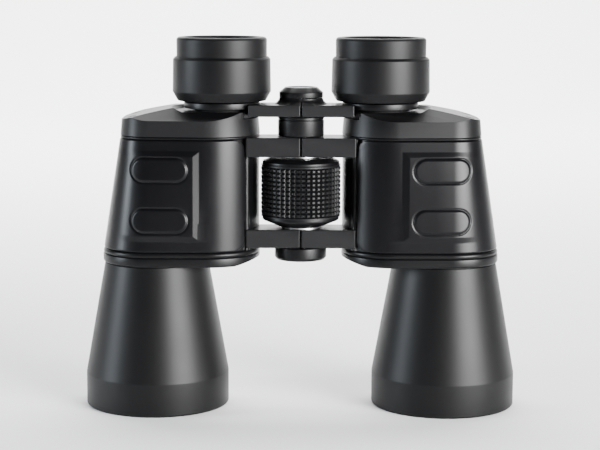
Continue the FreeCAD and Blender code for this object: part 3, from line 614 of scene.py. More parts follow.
class Workshop:
    """Holds the finished materials and hands pieces to the moving model."""

    def __init__(self, frame: dict) -> None:
        """Build every material.
        """
        self.frame = frame
        groups = {"grain": grain_group(), "handling": handling_group(), "rub": rub_group()}
        self.materials = {slot: finish.build(groups) for slot, finish in FINISHES.items()}

    def body(self, node: str) -> str:
        """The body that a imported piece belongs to.

        Args:
            node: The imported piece.

        Returns:
            The body's name.
        """
        for body, members in self.frame["record"]["behaviour"]["bodies"].items():
            if node in members:
                return body
        raise KeyError(node)

    def hand_over(self, piece: bpy.types.Object, slot: str, node: str, replace: bool = True) -> None:
        """Dress a piece and let it stand for, or ride with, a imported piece.

        Args:
            piece: The finished object.
            slot: Its material slot.
            node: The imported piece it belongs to.
            replace: Whether it takes that piece's place.
        """
        piece.data.materials.clear()
        piece.data.materials.append(self.materials[slot])
        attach(piece, self.body(node))
        if replace:
            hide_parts(node)
        LOG.info("%s on %s", piece.name, node)

    def dress_packed(self) -> None:
        """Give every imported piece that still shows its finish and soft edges."""
        slots = {part["node"]: part["material_slot"] for part in self.frame["record"]["subparts"]}
        for node, piece in self.frame["nodes"].items():
            piece.data.materials.clear()
            piece.data.materials.append(self.materials[slots[node]])
            if not piece.hide_render:
                soften(piece, 0.12, 40.0, 2)
                LOG.info("%s keeps its packed shape", node)


# --- The housing's form, shared by housing, armour, cover and flange --------------------


@dataclass
class HousingForm:
    """The flared outline of one prism housing, drawn for the right-hand half."""

    base: float
    top: float
    inner: float
    outer_low: float
    front: float
    back: float
    flare: float = 8.7
    lean: float = 4.8
    inner_round: float = 23.3
    low_round: float = 22.5
    front_round: float = 15.0
    back_round: float = 20.0

    @classmethod
    def from_model(cls) -> HousingForm:
        """Read the form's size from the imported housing, flange and cover.

        Returns:
            The form of the right-hand housing.
        """
        low, high = node_box("right_prism_housing")
        flange = node_box("right_end_flange")[1]
        cover = node_box("right_prism_cover")[0]
        return cls(flange.z, cover.z, cover.x, high.x, low.y, high.y)

    def corners(self, height: float, inset: float = 0.0, shift: float = 0.0) -> list[Corner]:
        """The four rounded corners of the outline at a level.

        Args:
            height: The level.
            inset: Distance inward from the full outline.
            shift: Extra distance that the inner end draws back.

        Returns:
            Corners of x, y and rounding, from the inner front one.
        """
        share = (height - self.base) / (self.top - self.base)
        lean = min(max(share, 0.0), 1.0) * self.lean
        inner = self.inner + inset + shift
        outer = self.outer_low - share * self.flare - inset
        front = self.front + inset
        back = self.back - inset
        front_round = self.low_round + share * (self.front_round - self.low_round)
        back_round = self.low_round + share * (self.back_round - self.low_round)
        return [
            (inner, front, self.inner_round - inset),
            (outer, front + lean, front_round - inset),
            (outer, back, back_round - inset),
            (inner, back, self.inner_round - inset),
        ]

    def outline(self, height: float, inset: float = 0.0, shift: float = 0.0, steps: int = 40) -> list[Point]:
        """Points of the outline at a level, counter-clockwise from the inner front."""
        return rounded(self.corners(height, inset, shift), steps)

    def ring(self, height: float, inset: float = 0.0, shift: float = 0.0) -> list[Corner]:
        """The outline at a level as points in space."""
        return [(x, y, height) for x, y in self.outline(height, inset, shift)]


def along(points: Sequence[Point], shares: Sequence[float]) -> list[tuple[float, float, float, float]]:
    """Points and outward directions at given shares of an open line's length.

    Args:
        points: The line.
        shares: Shares of its length, rising from 0 to 1.

    Returns:
        Two coordinates and two parts of the outward direction for each share.
    """
    lengths = [0.0]
    for a, b in zip(points, points[1:]):
        lengths.append(lengths[-1] + math.dist(a, b))
    found = []
    index = 0
    for share in shares:
        target = share * lengths[-1]
        while index < len(points) - 2 and lengths[index + 1] < target:
            index += 1
        a, b = Vector(points[index]), Vector(points[index + 1])
        span = max(lengths[index + 1] - lengths[index], 1e-9)
        spot = a.lerp(b, (target - lengths[index]) / span)
        way = (b - a).normalized()
        found.append((spot.x, spot.y, way.y, -way.x))
    return found


@dataclass
class PrismHousing:
    """The cast housing: metal lips above and below the armour, and its inner shoulder."""

    form: HousingForm
    shoulder: float = 24.3
    bead: float = 2.4
    samples: int = 520

    def inset(self, x: float, z: float, armour: tuple[float, float]) -> float:
        """How far the metal lies below the full outline at a place.

        Args:
            x: Distance from the middle plane.
            z: The level.
            armour: Lowest and highest level of the armour.

        Returns:
            The distance inward.
        """
        low, high = armour
        if z < low - 0.1:
            share = (z - self.form.base) / self.bead
            return 0.55 - 0.55 * math.sin(math.pi * ramp(share, 0.06, 0.94)) ** 0.5
        if z > high + 0.1:
            share = (z - high) / (self.form.top - high)
            return 0.5 - 0.4 * math.sin(math.pi * ramp(share, 0.1, 0.9)) ** 0.5
        lip = math.exp(-(((x - self.shoulder + 0.9) / 0.55) ** 2))
        under = smooth_step(x, self.shoulder - 0.15, self.shoulder + 0.1)
        return 1.2 * under + (1.0 - under) * (0.25 - 0.4 * lip)

    def build(self, side: Side, shop: Workshop) -> None:
        """Build one housing, from its lower lip to its upper one.

        Args:
            side: Which half it belongs to.
            shop: Takes the finished pieces.
        """
        low, high = node_box(side.node("armour"))
        armour = (low.z, high.z)
        form = self.form
        lip = [form.base + self.bead * step / 12 for step in range(13)]
        upper = [high.z + 0.2 + (form.top - high.z - 0.2) * step / 8 for step in range(9)]
        middle = [low.z + (high.z - low.z) * step / 12 for step in range(13)]
        rings = []
        for z in lip + middle + upper:
            outline = form.outline(z, 0.0)
            spots = along(outline + outline[:1], [step / self.samples for step in range(self.samples)])
            ring = []
            for x, y, out_x, out_y in spots:
                depth = self.inset(x, z, armour)
                ring.append((x - out_x * depth, y - out_y * depth, z))
            rings.append(ring)
        piece = loft(side.node("housing_casting"), rings, side, 40.0)
        shop.hand_over(piece, "body_paint", side.node("prism_housing"))


@dataclass
class Armour:
    """The smooth rubber armour with its raised panel and two thumb pads."""

    form: HousingForm
    start: float = 24.5
    corner: float = 5.0
    edge: float = 0.7
    depth: float = 1.4
    panel_inner: float = 44.9
    panel_bevel: float = 3.0
    panel_drop: float = 4.7
    panel_length: float = 40.3
    panel_raise: float = 1.0
    pad_inner: float = 49.8
    pad_outer: float = 75.4
    pad_height: float = 11.2
    pad_first: float = 7.6
    pad_pitch: float = 22.5
    pad_raise: float = 0.4
    groove: float = 0.35
    groove_width: float = 0.34
    panel_ends: float = 2.4
    fade_start: float = 60.0
    fade_end: float = 84.0
    row_pitch: float = 0.28

    def pad(self, x: float, z: float, top: float) -> float:
        """Relief of one thumb pad: a low cushion inside a fine groove.

        Args:
            x: Distance from the middle plane.
            z: The level.
            top: The pad's upper edge.

        Returns:
            Height above the panel.
        """
        radius = self.pad_height / 2
        middle = top - radius
        near = min(max(x, self.pad_inner + radius), self.pad_outer - radius)
        inside = radius - math.hypot(x - near, z - middle)
        groove = math.exp(-((inside / self.groove_width) ** 2))
        return self.pad_raise * smooth_step(inside, 0.2, 1.3) - self.groove * groove

    def relief(self, x: float, y: float, z: float, top: float) -> float:
        """Height of the armour above its plain form at a place.

        Args:
            x: Distance from the middle plane.
            y: Depth; the back of the armour is plain.
            z: The level.
            top: The armour's upper edge.

        Returns:
            The height.
        """
        if y > 0.0:
            return 0.0
        panel_top = top - self.panel_drop
        panel_low = panel_top - self.panel_length
        side = ramp(x, self.panel_inner, self.panel_inner + self.panel_bevel)
        ends = min(ramp(panel_top - z, 0.0, self.panel_ends), ramp(z - panel_low, 0.0, self.panel_ends))
        blend = 1.0 - smooth_step(x, self.fade_start, self.fade_end)
        height = self.panel_raise * blend * min(side, ends)
        height += self.pad(x, z, top - self.pad_first)
        height += self.pad(x, z, top - self.pad_first - self.pad_pitch)
        return height

    def rolled(self, length: float, fine: Sequence[float]) -> list[tuple[float, float]]:
        """Stations along a length with rolled edges.

        Args:
            length: The whole length.
            fine: Distances between the two edges.

        Returns:
            Distance and drop of each station.
        """
        turn = [math.pi / 2 * step / 5 for step in range(6)]
        rise = [(self.edge * (1 - math.cos(angle)), -self.edge * (1 - math.sin(angle))) for angle in turn]
        middle = [(spot, 0.0) for spot in fine if 1.2 * self.edge < spot < length - 1.2 * self.edge]
        fall = [(length - spot, drop) for spot, drop in reversed(rise)]
        return [(0.0, -self.depth)] + rise + middle + fall + [(length, -self.depth)]

    def build(self, side: Side, shop: Workshop) -> None:
        """Build one armour.

        Args:
            side: Which half it belongs to.
            shop: Takes the finished pieces.
        """
        low, high = node_box(side.node("armour"))
        tall = high.z - low.z
        rows = self.rolled(tall, [self.row_pitch * step for step in range(int(tall / self.row_pitch))])
        verts = []
        width = 0
        for up, row_drop in rows:
            z = low.z + up
            near_end = max(0.0, self.corner - min(up, tall - up))
            back_off = self.corner - math.sqrt(max(self.corner**2 - near_end**2, 0.0))
            outline = self.form.outline(z, 0.0, steps=64)
            start = self.start + back_off
            count = len(outline)
            front = next(i for i in range(count) if outline[i][0] > start and outline[i][1] < 0)
            back = next(i for i in reversed(range(count)) if outline[i][0] > start and outline[i][1] > 0)
            line = outline[front : back + 1]
            length = sum(math.dist(a, b) for a, b in zip(line, line[1:]))
            columns = self.rolled(length, self.stations(length))
            spots = along(line, [distance / length for distance, _ in columns])
            width = len(columns)
            for (x, y, out_x, out_y), (_, column_drop) in zip(spots, columns):
                lift = min(row_drop, column_drop)
                if lift == 0.0:
                    lift = self.relief(x, y, z, high.z)
                verts.append((x + out_x * lift, y + out_y * lift, z))
        faces = []
        for row in range(len(rows) - 1):
            for column in range(width - 1):
                a = row * width + column
                faces.append((a, a + 1, a + width + 1, a + width))
        last = (len(rows) - 1) * width
        faces += [(column, column + 1, last + column + 1, last + column) for column in range(width - 1)]
        faces.append(tuple(row * width for row in range(len(rows))))
        faces.append(tuple(row * width + width - 1 for row in range(len(rows))))
        piece = mesh_object(side.node("armour_skin"), verts, faces, side, 60.0)
        shop.hand_over(piece, "armour_rubber", side.node("armour"))

    @staticmethod
    def stations(length: float) -> list[float]:
        """Distances along the skin: close together over the panel, wider behind.

        Args:
            length: The skin's whole length.

        Returns:
            The distances.
        """
        shares = [0.02 * step for step in range(1, 8)]
        shares += [0.14 + 0.0018 * step for step in range(1, 165)]
        shares += [0.44 + 0.011 * step for step in range(1, 50)]
        return [share * length for share in shares]


@dataclass
class PrismCover:
    """The cover over the prisms: band, sloped crown, eyepiece seat and arm slot."""

    form: HousingForm
    eye: float = 35.8
    band: float = 7.0
    taper: float = 0.6
    crown: float = 5.1
    slope_run: float = 10.4
    crown_past: float = 0.5
    seat_rise: float = 3.5
    seat_radius: float = 21.5
    seat_bevel: float = 1.2
    slot_rise: float = 0.4
    slot_end: float = 25.8
    slot_front: float = -16.3
    slot_back: float = 3.8
    bore: float = 13.3
    far: float = 70.0
    above: float = 12.0
    screw_seat: float = 5.8
    pocket: float = 2.15
    screw_inset: float = 4.2

    def slopes(self, side: Side) -> list[bpy.types.Object]:
        """Tools that cut the crown's slopes in front, behind and at its outer end.

        Args:
            side: The left side mirrors them.

        Returns:
            The three tools.
        """
        form = self.form
        base = form.top + self.band
        top = base + self.crown
        roof = top + self.above
        outer = form.outer_low - form.flare - self.taper
        front = form.front + self.taper
        back = form.back - self.taper
        turn = form.lean / (outer - form.inner)
        tools = []
        for name, edge, way, lean in (("front_cutter", front, 1.0, turn), ("back_cutter", back, -1.0, 0.0)):
            rings = []
            for x in (form.inner - 10.0, outer + 10.0):
                foot = edge + lean * (x - form.inner)
                run = way * self.slope_run
                rings.append([(x, foot, base), (x, foot + run, top),
                              (x, foot + run * (1 + self.above / self.crown), roof),
                              (x, foot - way * self.above, roof), (x, foot - way * self.above, base)])
            tools.append(loft(name, rings, side))
        run = outer - self.eye - self.seat_radius - self.crown_past
        bend = [(outer - run * share, base + self.crown * (1.19 * share - 0.19 * share * share))
                for share in (0.0, 0.15, 0.3, 0.45, 0.6, 0.8, 1.0)]
        rings = []
        for y in (-self.far, self.far):
            ring = [(x, y, z) for x, z in bend]
            ring += [(outer - run, y, roof), (outer + self.above, y, roof), (outer + self.above, y, base)]
            rings.append(ring)
        tools.append(loft("outer_cutter", rings, side))
        return tools

    def build(self, side: Side, shop: Workshop) -> None:
        """Build one cover and cut its slopes, seat, slot, bore and screw pockets.

        Args:
            side: Which half it belongs to.
            shop: Takes the finished pieces.
        """
        base = self.form.top
        top = base + self.band
        rings = [self.form.outline(base, 0.0, steps=28)] + [self.form.outline(base, self.taper, steps=28)] * 2
        levels = (base, top, top + self.crown)
        piece = loft(side.node("cover_shell"),
                     [[(x, y, level) for x, y in ring] for ring, level in zip(rings, levels)], side, 32.0)
        seat = top + self.seat_rise
        wide = self.seat_radius + 4 * self.seat_bevel
        seat_profile = [(0.0, seat), (self.seat_radius, seat), (wide, seat + 4 * self.seat_bevel),
                        (wide, seat + self.above), (0.0, seat + self.above)]
        tools = self.slopes(side) + [lathe("seat_cutter", seat_profile, (self.eye, 0.0), side, 144)]
        slot = [(0.0, self.slot_front), (self.slot_end, self.slot_front),
                (self.slot_end, self.slot_back), (0.0, self.slot_back)]
        tools.append(loft("slot_cutter", slab(slot, top + self.slot_rise, seat + self.above), side))
        bore = [(0.0, base - 1), (self.bore, base - 1), (self.bore, seat + 1), (0.0, seat + 1)]
        tools.append(lathe("bore_cutter", bore, (self.eye, 0.0), side, 96))
        head_low = base + self.screw_seat
        for spot in self.screw_spots():
            pocket = [(0.0, head_low), (self.pocket, head_low), (self.pocket, seat + 9), (0.0, seat + 9)]
            tools.append(lathe("pocket_cutter", pocket, spot, side, 32))
        carve(piece, tools)
        soften(piece, 0.4, 20.0, 3)
        shop.hand_over(piece, "cover_paint", side.node("prism_cover"))

    def screw_spots(self) -> list[Point]:
        """Where the three cover screws stand.

        Returns:
            Two coordinates of each screw.
        """
        outer = self.form.outer_low - self.form.flare
        spots = []
        for radius, degrees, edge in (
            (self.form.front_round, -30.0, self.form.front + self.form.lean + self.form.front_round),
            (self.form.back_round, 20.0, self.form.back - self.form.back_round),
        ):
            reach = radius - self.screw_inset
            angle = math.radians(degrees)
            spots.append((outer - radius + reach * math.cos(angle), edge + reach * math.sin(angle)))
        spots.append((self.form.inner + self.form.inner_round, self.form.back - self.screw_inset))
        return spots


@dataclass
class EndFlange:
    """The end flange that the objective barrel screws into, sloped below its inner end."""

    form: HousingForm
    slope_run: float = 11.3
    slope_rise: float = 2.8
    far: float = 70.0

    def build(self, side: Side, shop: Workshop) -> None:
        """Build one flange.

        Args:
            side: Which half it belongs to.
            shop: Takes the finished pieces.
        """
        low, high = node_box(side.node("end_flange"))
        tall = high.z - low.z
        stops = [(0.0, 1.2), (0.04, 0.62), (0.12, 0.25), (0.22, 0.05), (0.34, 0.0), (0.82, 0.0),
                 (0.92, 0.08), (0.97, 0.25), (1.0, 0.55)]
        rings = []
        for share, inset in stops:
            points = rounded(self.form.corners(self.form.base, inset), 40)
            rings.append([(x, y, low.z + share * tall) for x, y in points])
        piece = loft(side.node("flange_casting"), rings, side, 40.0)
        start = self.form.inner
        ends = []
        for y in (-self.far, self.far):
            ends.append([(start - 2.0, y, low.z + self.slope_rise * (1 + 2.0 / self.slope_run)),
                         (start + self.slope_run, y, low.z), (start + self.slope_run, y, low.z - 3.0),
                         (start - 2.0, y, low.z - 3.0)])
        carve(piece, [loft("slope_cutter", ends, side)])
        soften(piece, 0.35, 14.0, 2)
        shop.hand_over(piece, "body_paint", side.node("end_flange"))


@dataclass
class HingeArms:
    """The arms of both halves, with half-height knuckles about the centre hinge."""

    hinge: float = -5.0
    front: float = -15.5
    back: float = 3.0
    slit: float = 0.35
    knuckle: float = 7.9
    apart: float = 0.3
    notch: float = 33.5
    low_lug: tuple[float, float] = (74.0, 82.3)
    high_lug: tuple[float, float] = (114.9, 123.6)
    housing_reach: float = 24.6

    def outer_outline(self, reach: float) -> list[Point]:
        """The arm outside the other half's knuckle.

        Args:
            reach: How far the arm runs from the middle plane.

        Returns:
            The outline's points.
        """
        lean = math.tan(math.radians(self.notch))
        clear = self.knuckle + self.apart
        last = math.radians(90.0 - self.notch)
        first = -math.acos(self.slit / clear)
        arc = [first + (last - first) * step / 20 for step in range(21)]
        line = [(self.slit, self.front), (reach, self.front), (reach, self.back)]
        line.append(((self.back - self.hinge) * lean, self.back))
        line += [(clear * math.cos(angle), self.hinge + clear * math.sin(angle)) for angle in reversed(arc)]
        return line

    def inner_outline(self) -> list[Point]:
        """The knuckle with the web that joins it to its own arm.

        Returns:
            The outline's points.
        """
        clear = self.knuckle + self.apart
        last = math.radians(90.0 - self.notch)
        web = [-math.pi / 2 + (last + math.pi / 2) * step / 20 for step in range(1, 21)]
        far = [last + (math.tau - (last + math.pi / 2)) * step / 28 for step in range(29)]
        points = [(max(self.slit, clear * math.cos(a)), self.hinge + clear * math.sin(a)) for a in web]
        points += [(self.knuckle * math.cos(a), self.hinge + self.knuckle * math.sin(a)) for a in far]
        return points

    def arm(
        self, name: str, side: Side, reach: float, base: float, top: float
    ) -> list[bpy.types.Object]:
        """The meshes of one arm.

        Args:
            name: Name of the arm.
            side: Which half it belongs to.
            reach: How far it runs from the middle plane.
            base: Its lower level.
            top: Its upper level.

        Returns:
            Its plate and its knuckle.
        """
        middle = (base + top) / 2
        own = (base, middle - self.apart / 2) if side is Side.LEFT else (middle + self.apart / 2, top)
        plate = loft(side.node(name), slab(self.outer_outline(reach), base, top), side, 30.0)
        knuckle = loft(side.node(name + "_knuckle"), slab(self.inner_outline(), *own), side, 30.0)
        return [soften(plate, 0.55, 40.0), soften(knuckle, 0.25, 50.0, 2)]

    def build(self, side: Side, shop: Workshop) -> None:
        """Build the two housing arms of one half.

        Args:
            side: Which half it belongs to.
            shop: Takes the finished pieces.
        """
        for name, (base, top) in (("lower_arm", self.low_lug), ("upper_arm", self.high_lug)):
            for piece in self.arm(name, side, self.housing_reach, base, top):
                shop.hand_over(piece, "body_paint", side.node("prism_housing"))


@dataclass
class BridgeArms:
    """The eyepiece bridge: arms, flared hub and eyepiece rings."""

    arms: HingeArms
    eye: float = 35.8
    reach: float = 23.6
    base: float = 132.85
    top: float = 138.1
    flare_foot: float = 12.7
    flare_top: float = 9.85
    ring_radius: float = 17.1
    ring_bore: float = 12.3
    ring_foot: float = 3.05
    ring_head: float = 5.95

    def flare(self, side: Side, top: float) -> bpy.types.Object:
        """The concave hub above the arm, cut flush with its front face.

        Args:
            side: Which half it belongs to.
            top: The hub's upper level.

        Returns:
            The hub.
        """
        arms = self.arms
        rings = []
        last = math.radians(90.0 - arms.notch)
        for step in range(11):
            share = step / 10
            z = self.top - 0.4 + (top - self.top + 0.4) * share
            radius = self.flare_top + (self.flare_foot - self.flare_top) * (1 - share) ** 2.0
            first = -math.pi / 2 + math.asin(arms.slit / radius)
            ring = [(arms.slit, arms.hinge + 0.6, z)]
            for turn in range(41):
                angle = first + (last - first) * turn / 40
                ahead = -math.sin(angle)
                limit = (arms.hinge - arms.front) / ahead if ahead > 0.05 else 100.0
                reach = min(radius, limit)
                ring.append((reach * math.cos(angle), arms.hinge + reach * math.sin(angle), z))
            rings.append(ring)
        return soften(loft(side.node("bridge_hub"), rings, side, 30.0), 0.25, 40.0, 2)

    def build(self, side: Side, shop: Workshop) -> None:
        """Build one bridge arm with its ring.

        Args:
            side: Which half it belongs to.
            shop: Takes the finished pieces.
        """
        node = side.node("bridge_arm")
        low, high = node_box(node)
        base = low.z
        pieces = self.arms.arm("bridge_plate", side, self.reach, base, base + self.top - self.base)
        pieces.append(self.flare(side, high.z))
        ring_low = base + self.ring_foot
        ring_top = base + self.ring_head
        ring = rounded([(self.ring_bore, ring_low, 0.0), (self.ring_radius, ring_low, 0.3),
                        (self.ring_radius, ring_top, 0.45), (self.ring_bore, ring_top, 0.2)], 4)
        pieces.append(lathe(side.node("bridge_ring"), ring, (self.eye, 0.0), side))
        for piece in pieces:
            shop.hand_over(piece, "body_paint", node)


@dataclass
class ObjectiveBarrel:
    """The objective barrel: bell, cone, lens hood with baffle ribs, and its lens."""

    axis: float = 65.6
    neck: float = 23.6
    bell: float = 15.0
    hood: float = 30.0
    hood_depth: float = 11.0
    lens: float = 25.4
    lens_curve: float = 110.0
    throat: float = 17.5
    ledge: float = 1.2
    ledge_low: float = 23.2
    cell_top: float = 27.0
    ribs: int = 7

    def build(self, side: Side, shop: Workshop) -> None:
        """Build one barrel and the front face of its lens.

        Args:
            side: Which half it belongs to.
            shop: Takes the finished pieces.
        """
        node = side.node("objective_barrel")
        low, high = node_box(node)
        radius = (high.x - low.x) / 2
        flange = node_box(side.node("end_flange"))[0]
        corners: list[Corner] = [
            (radius, 0.0, 1.1), (radius, self.bell, 3.0), (self.neck, flange.z - 0.25, 0.0),
            (self.neck - 0.5, flange.z - 0.05, 0.0), (self.neck - 0.5, flange.z + 0.3, 0.0),
            (self.throat, flange.z + 0.3, 0.0), (self.lens - self.ledge, self.cell_top, 0.0),
            (self.lens - self.ledge, 23.4, 0.0), (self.lens, self.ledge_low, 0.0),
            (self.lens, self.hood_depth, 0.3),
        ]
        pitch = (self.hood_depth - 1.5) / self.ribs
        for rib in range(self.ribs):
            level = self.hood_depth - rib * pitch
            corners.append((self.hood, level - 0.25 * pitch, 0.0))
            corners.append((self.hood - 0.3, level - 0.85 * pitch, 0.0))
        corners.append((self.hood + 0.1, 0.0, 0.6))
        piece = lathe(node + "_turned", rounded(corners, 7), (self.axis, 0.0), side, 200)
        shop.hand_over(piece, "barrel_paint", node)
        lens_low, lens_high = node_box(side.node("crown_lens"))
        face = self.dome(lens_low.z, lens_high.z, self.lens - 0.02, self.lens_curve, False)
        lens = lathe(side.node("crown_glass"), face, (self.axis, 0.0), side, 128)
        shop.hand_over(lens, "coated_glass", side.node("crown_lens"))

    @staticmethod
    def dome(base: float, top: float, radius: float, curve: float, upward: bool) -> list[Point]:
        """Outline of a lens with one flat face and one round face.

        Args:
            base: Lower level.
            top: Upper level.
            radius: Outer radius.
            curve: Radius of the round face.
            upward: Whether the round face looks up.

        Returns:
            The outline as radius and level.
        """
        points: list[Point] = []
        for step in range(17):
            out = radius * step / 16
            sag = curve - math.sqrt(curve * curve - out * out)
            points.append((out, top - sag if upward else base + sag))
        flat = base if upward else top
        return points + [(radius, flat), (0.0, flat)]


@dataclass
class Eyepiece:
    """An eyepiece: sleeve or dioptre ring, eyecup and eye lens."""

    eye: float = 35.8
    sleeve_bore: float = 16.0
    sleeve_foot: float = 19.95
    sleeve_radius: float = 22.2
    sleeve_shoulder: float = 21.95
    sleeve_throat: float = 20.65
    cup_bore: float = 16.35
    cup_body: float = 20.35
    cup_radius: float = 20.4
    cup_mouth: float = 17.2
    lens: float = 13.98
    lens_curve: float = 34.0

    def build(self, side: Side, shop: Workshop) -> None:
        """Build the turned pieces of one eyepiece.

        Args:
            side: Which half it belongs to.
            shop: Takes the finished pieces.
        """
        node = "right_dioptre_ring" if side is Side.RIGHT else "left_eyepiece_sleeve"
        low, high = node_box(node)
        base, top = low.z, high.z
        sleeve: list[Corner] = [
            (self.sleeve_bore, base, 0.0), (16.6, base, 0.3), (self.sleeve_foot, base + 0.1, 0.5),
            (self.sleeve_radius, base + 4.2, 0.9), (self.sleeve_shoulder, base + 18.6, 0.7),
            (20.95, top, 0.35), (self.sleeve_throat, top - 0.4, 0.0),
            (self.sleeve_throat, base + 3.6, 0.0), (self.sleeve_bore, base + 3.6, 0.0),
        ]
        piece = lathe(node + "_turned", rounded(sleeve, 6), (self.eye, 0.0), side, 176)
        shop.hand_over(piece, "sleeve_rubber", node)
        node = side.node("eyecup")
        low, high = node_box(node)
        base, top = low.z, high.z
        cup: list[Corner] = [
            (self.cup_bore, base, 0.2), (self.cup_body, base, 0.2), (self.cup_body, top - 7.6, 0.3),
            (self.cup_radius, top, 1.5), (self.cup_mouth, top, 1.2), (self.cup_bore, top - 2.4, 1.0),
        ]
        piece = lathe(node + "_turned", rounded(cup, 8), (self.eye, 0.0), side, 176)
        shop.hand_over(piece, "eyecup_rubber", node)
        node = side.node("eye_lens")
        low, high = node_box(node)
        face = ObjectiveBarrel.dome(low.z, high.z, self.lens, self.lens_curve, True)
        shop.hand_over(lathe(side.node("eye_glass"), face, (self.eye, 0.0), side, 96), "coated_glass", node)


@dataclass
class FocusWheel:
    """The focus wheel: turned core and knurled grip."""

    hinge: float = -5.0
    columns: int = 48
    rows: int = 11
    bore: float = 5.55
    foot: float = 10.3
    head: float = 13.4
    seat: float = 15.5
    plain_edge: float = 0.9
    knurl: float = 0.65
    flat: float = 0.22

    def build(self, shop: Workshop) -> None:
        """Build the core and the grip.

        Args:
            shop: Takes the finished pieces.
        """
        low, high = node_box("focus_wheel_core")
        grip_low, grip_high = node_box("focus_wheel_grip")
        rim = (high.x - low.x) / 2
        core: list[Corner] = [
            (self.bore, low.z, 0.2), (self.foot, low.z, 0.4), (rim, grip_low.z - 1.5, 0.8),
            (rim, grip_low.z, 0.2), (self.seat, grip_low.z, 0.0), (self.seat, grip_high.z, 0.0),
            (rim, grip_high.z, 0.2), (rim, high.z - 1.5, 0.7), (self.head, high.z, 0.4),
            (self.bore, high.z, 0.2),
        ]
        piece = lathe("wheel_core_turned", rounded(core, 5), (0.0, self.hinge), Side.RIGHT, 144)
        shop.hand_over(piece, "wheel_plastic", "focus_wheel_core")
        shop.hand_over(self.grip(grip_low.z, grip_high.z, (grip_high.x - grip_low.x) / 2),
                       "grip_rubber", "focus_wheel_grip")

    def grip(self, base: float, top: float, radius: float) -> bpy.types.Object:
        """The knurled band: blunt pyramids between grooves, with plain edges.

        Args:
            base: Lower level.
            top: Upper level.
            radius: Outer radius.

        Returns:
            The band.
        """
        root = radius - self.knurl
        edge = self.plain_edge
        pitch = (top - base - 2 * edge) / self.rows
        verts: list[Corner] = []
        faces: list[tuple[int, ...]] = []
        backs: list[tuple[int, int]] = []

        def spot(turn: float, level: float, reach: float) -> int:
            """Add a point and give its number.

            Args:
                turn: Place round the wheel, in columns.
                level: Height.
                reach: Distance from the hinge axis.

            Returns:
                The point's number.
            """
            angle = math.tau * turn / self.columns
            verts.append((reach * math.cos(angle), self.hinge + reach * math.sin(angle), level))
            return len(verts) - 1

        for column in range(self.columns):
            for row in range(self.rows):
                low = base + edge + row * pitch
                foot = [spot(column + a, low + b * pitch, root) for a, b in ((0, 0), (1, 0), (1, 1), (0, 1))]
                near, far = 0.5 - self.flat, 0.5 + self.flat
                tip = [spot(column + a, low + b * pitch, radius)
                       for a, b in ((near, near), (far, near), (far, far), (near, far))]
                faces.append(tuple(tip))
                for index in range(4):
                    ahead = (index + 1) % 4
                    faces.append((foot[index], foot[ahead], tip[ahead], tip[index]))
            for level, inward, outward in ((base + edge, base, 1), (top - edge, top, -1)):
                a = spot(column, level, root)
                b = spot(column + 1, level, root)
                c = spot(column + 1, level - 0.25 * outward, radius - 0.15)
                d = spot(column, level - 0.25 * outward, radius - 0.15)
                e = spot(column + 1, inward, radius - 0.15)
                f = spot(column, inward, radius - 0.15)
                g = spot(column + 1, inward, radius - 2.0)
                h = spot(column, inward, radius - 2.0)
                faces += [(a, b, c, d), (d, c, e, f), (f, e, g, h)]
                backs.append((h, g))
            faces.append((*backs[-2], *reversed(backs[-1])))
        return mesh_object("grip_knurled", verts, faces, Side.RIGHT, 20.0)


@dataclass
class HingeCaps:
    """The caps and the tube that stand on the hinge axis."""

    hinge: float = -5.0
    cap_radius: float = 9.85
    cap_top: float = 7.25
    tube_bore: float = 8.6
    spindle_hole: float = 3.3
    cover_bore: float = 5.6

    def build(self, shop: Workshop) -> None:
        """Build the bridge cap, the focus tube and the tripod cap.

        Args:
            shop: Takes the finished pieces.
        """
        centre = (0.0, self.hinge)
        low, high = node_box("bridge_cap")
        cap: list[Corner] = [
            (0.0, low.z, 0.0), (self.cap_radius, low.z, 0.2), (self.cap_radius, high.z - 2.25, 0.5),
            (self.cap_top, high.z, 0.6),
            (6.2, high.z, 0.1), (6.0, high.z - 0.35, 0.1), (0.0, high.z - 0.35, 0.0),
        ]
        shop.hand_over(lathe("bridge_cap_turned", rounded(cap, 5), centre), "hub_plastic", "bridge_cap")
        low, high = node_box("focus_tube")
        radius = (high.x - low.x) / 2
        tube: list[Corner] = [
            (self.tube_bore, low.z, 0.0), (radius, low.z, 0.3), (radius, high.z - 1.6, 0.0),
            (radius - 0.3, high.z - 1.4, 0.0),
            (radius - 0.3, high.z - 1.1, 0.0), (radius, high.z - 0.9, 0.0), (radius, high.z, 0.35),
            (self.spindle_hole, high.z, 0.0), (self.spindle_hole, high.z - 1.5, 0.0),
            (self.tube_bore, high.z - 1.5, 0.0),
        ]
        shop.hand_over(lathe("focus_tube_turned", rounded(tube, 4), centre), "body_paint", "focus_tube")
        low, high = node_box("tripod_cap")
        radius = (high.x - low.x) / 2
        cover: list[Corner] = [
            (0.0, low.z + 0.3, 0.0), (6.0, low.z + 0.3, 0.1), (6.3, low.z, 0.2), (radius - 0.9, low.z, 0.9),
            (radius, low.z + 1.2, 0.7), (radius, high.z, 0.4), (self.cover_bore, high.z, 0.0),
            (self.cover_bore, high.z - 3.6, 0.0),
            (0.0, high.z - 3.6, 0.0),
        ]
        shop.hand_over(lathe("tripod_cap_turned", rounded(cover, 5), centre), "hub_plastic", "tripod_cap")


# --- Stage ----------------------------------------------------------------------------


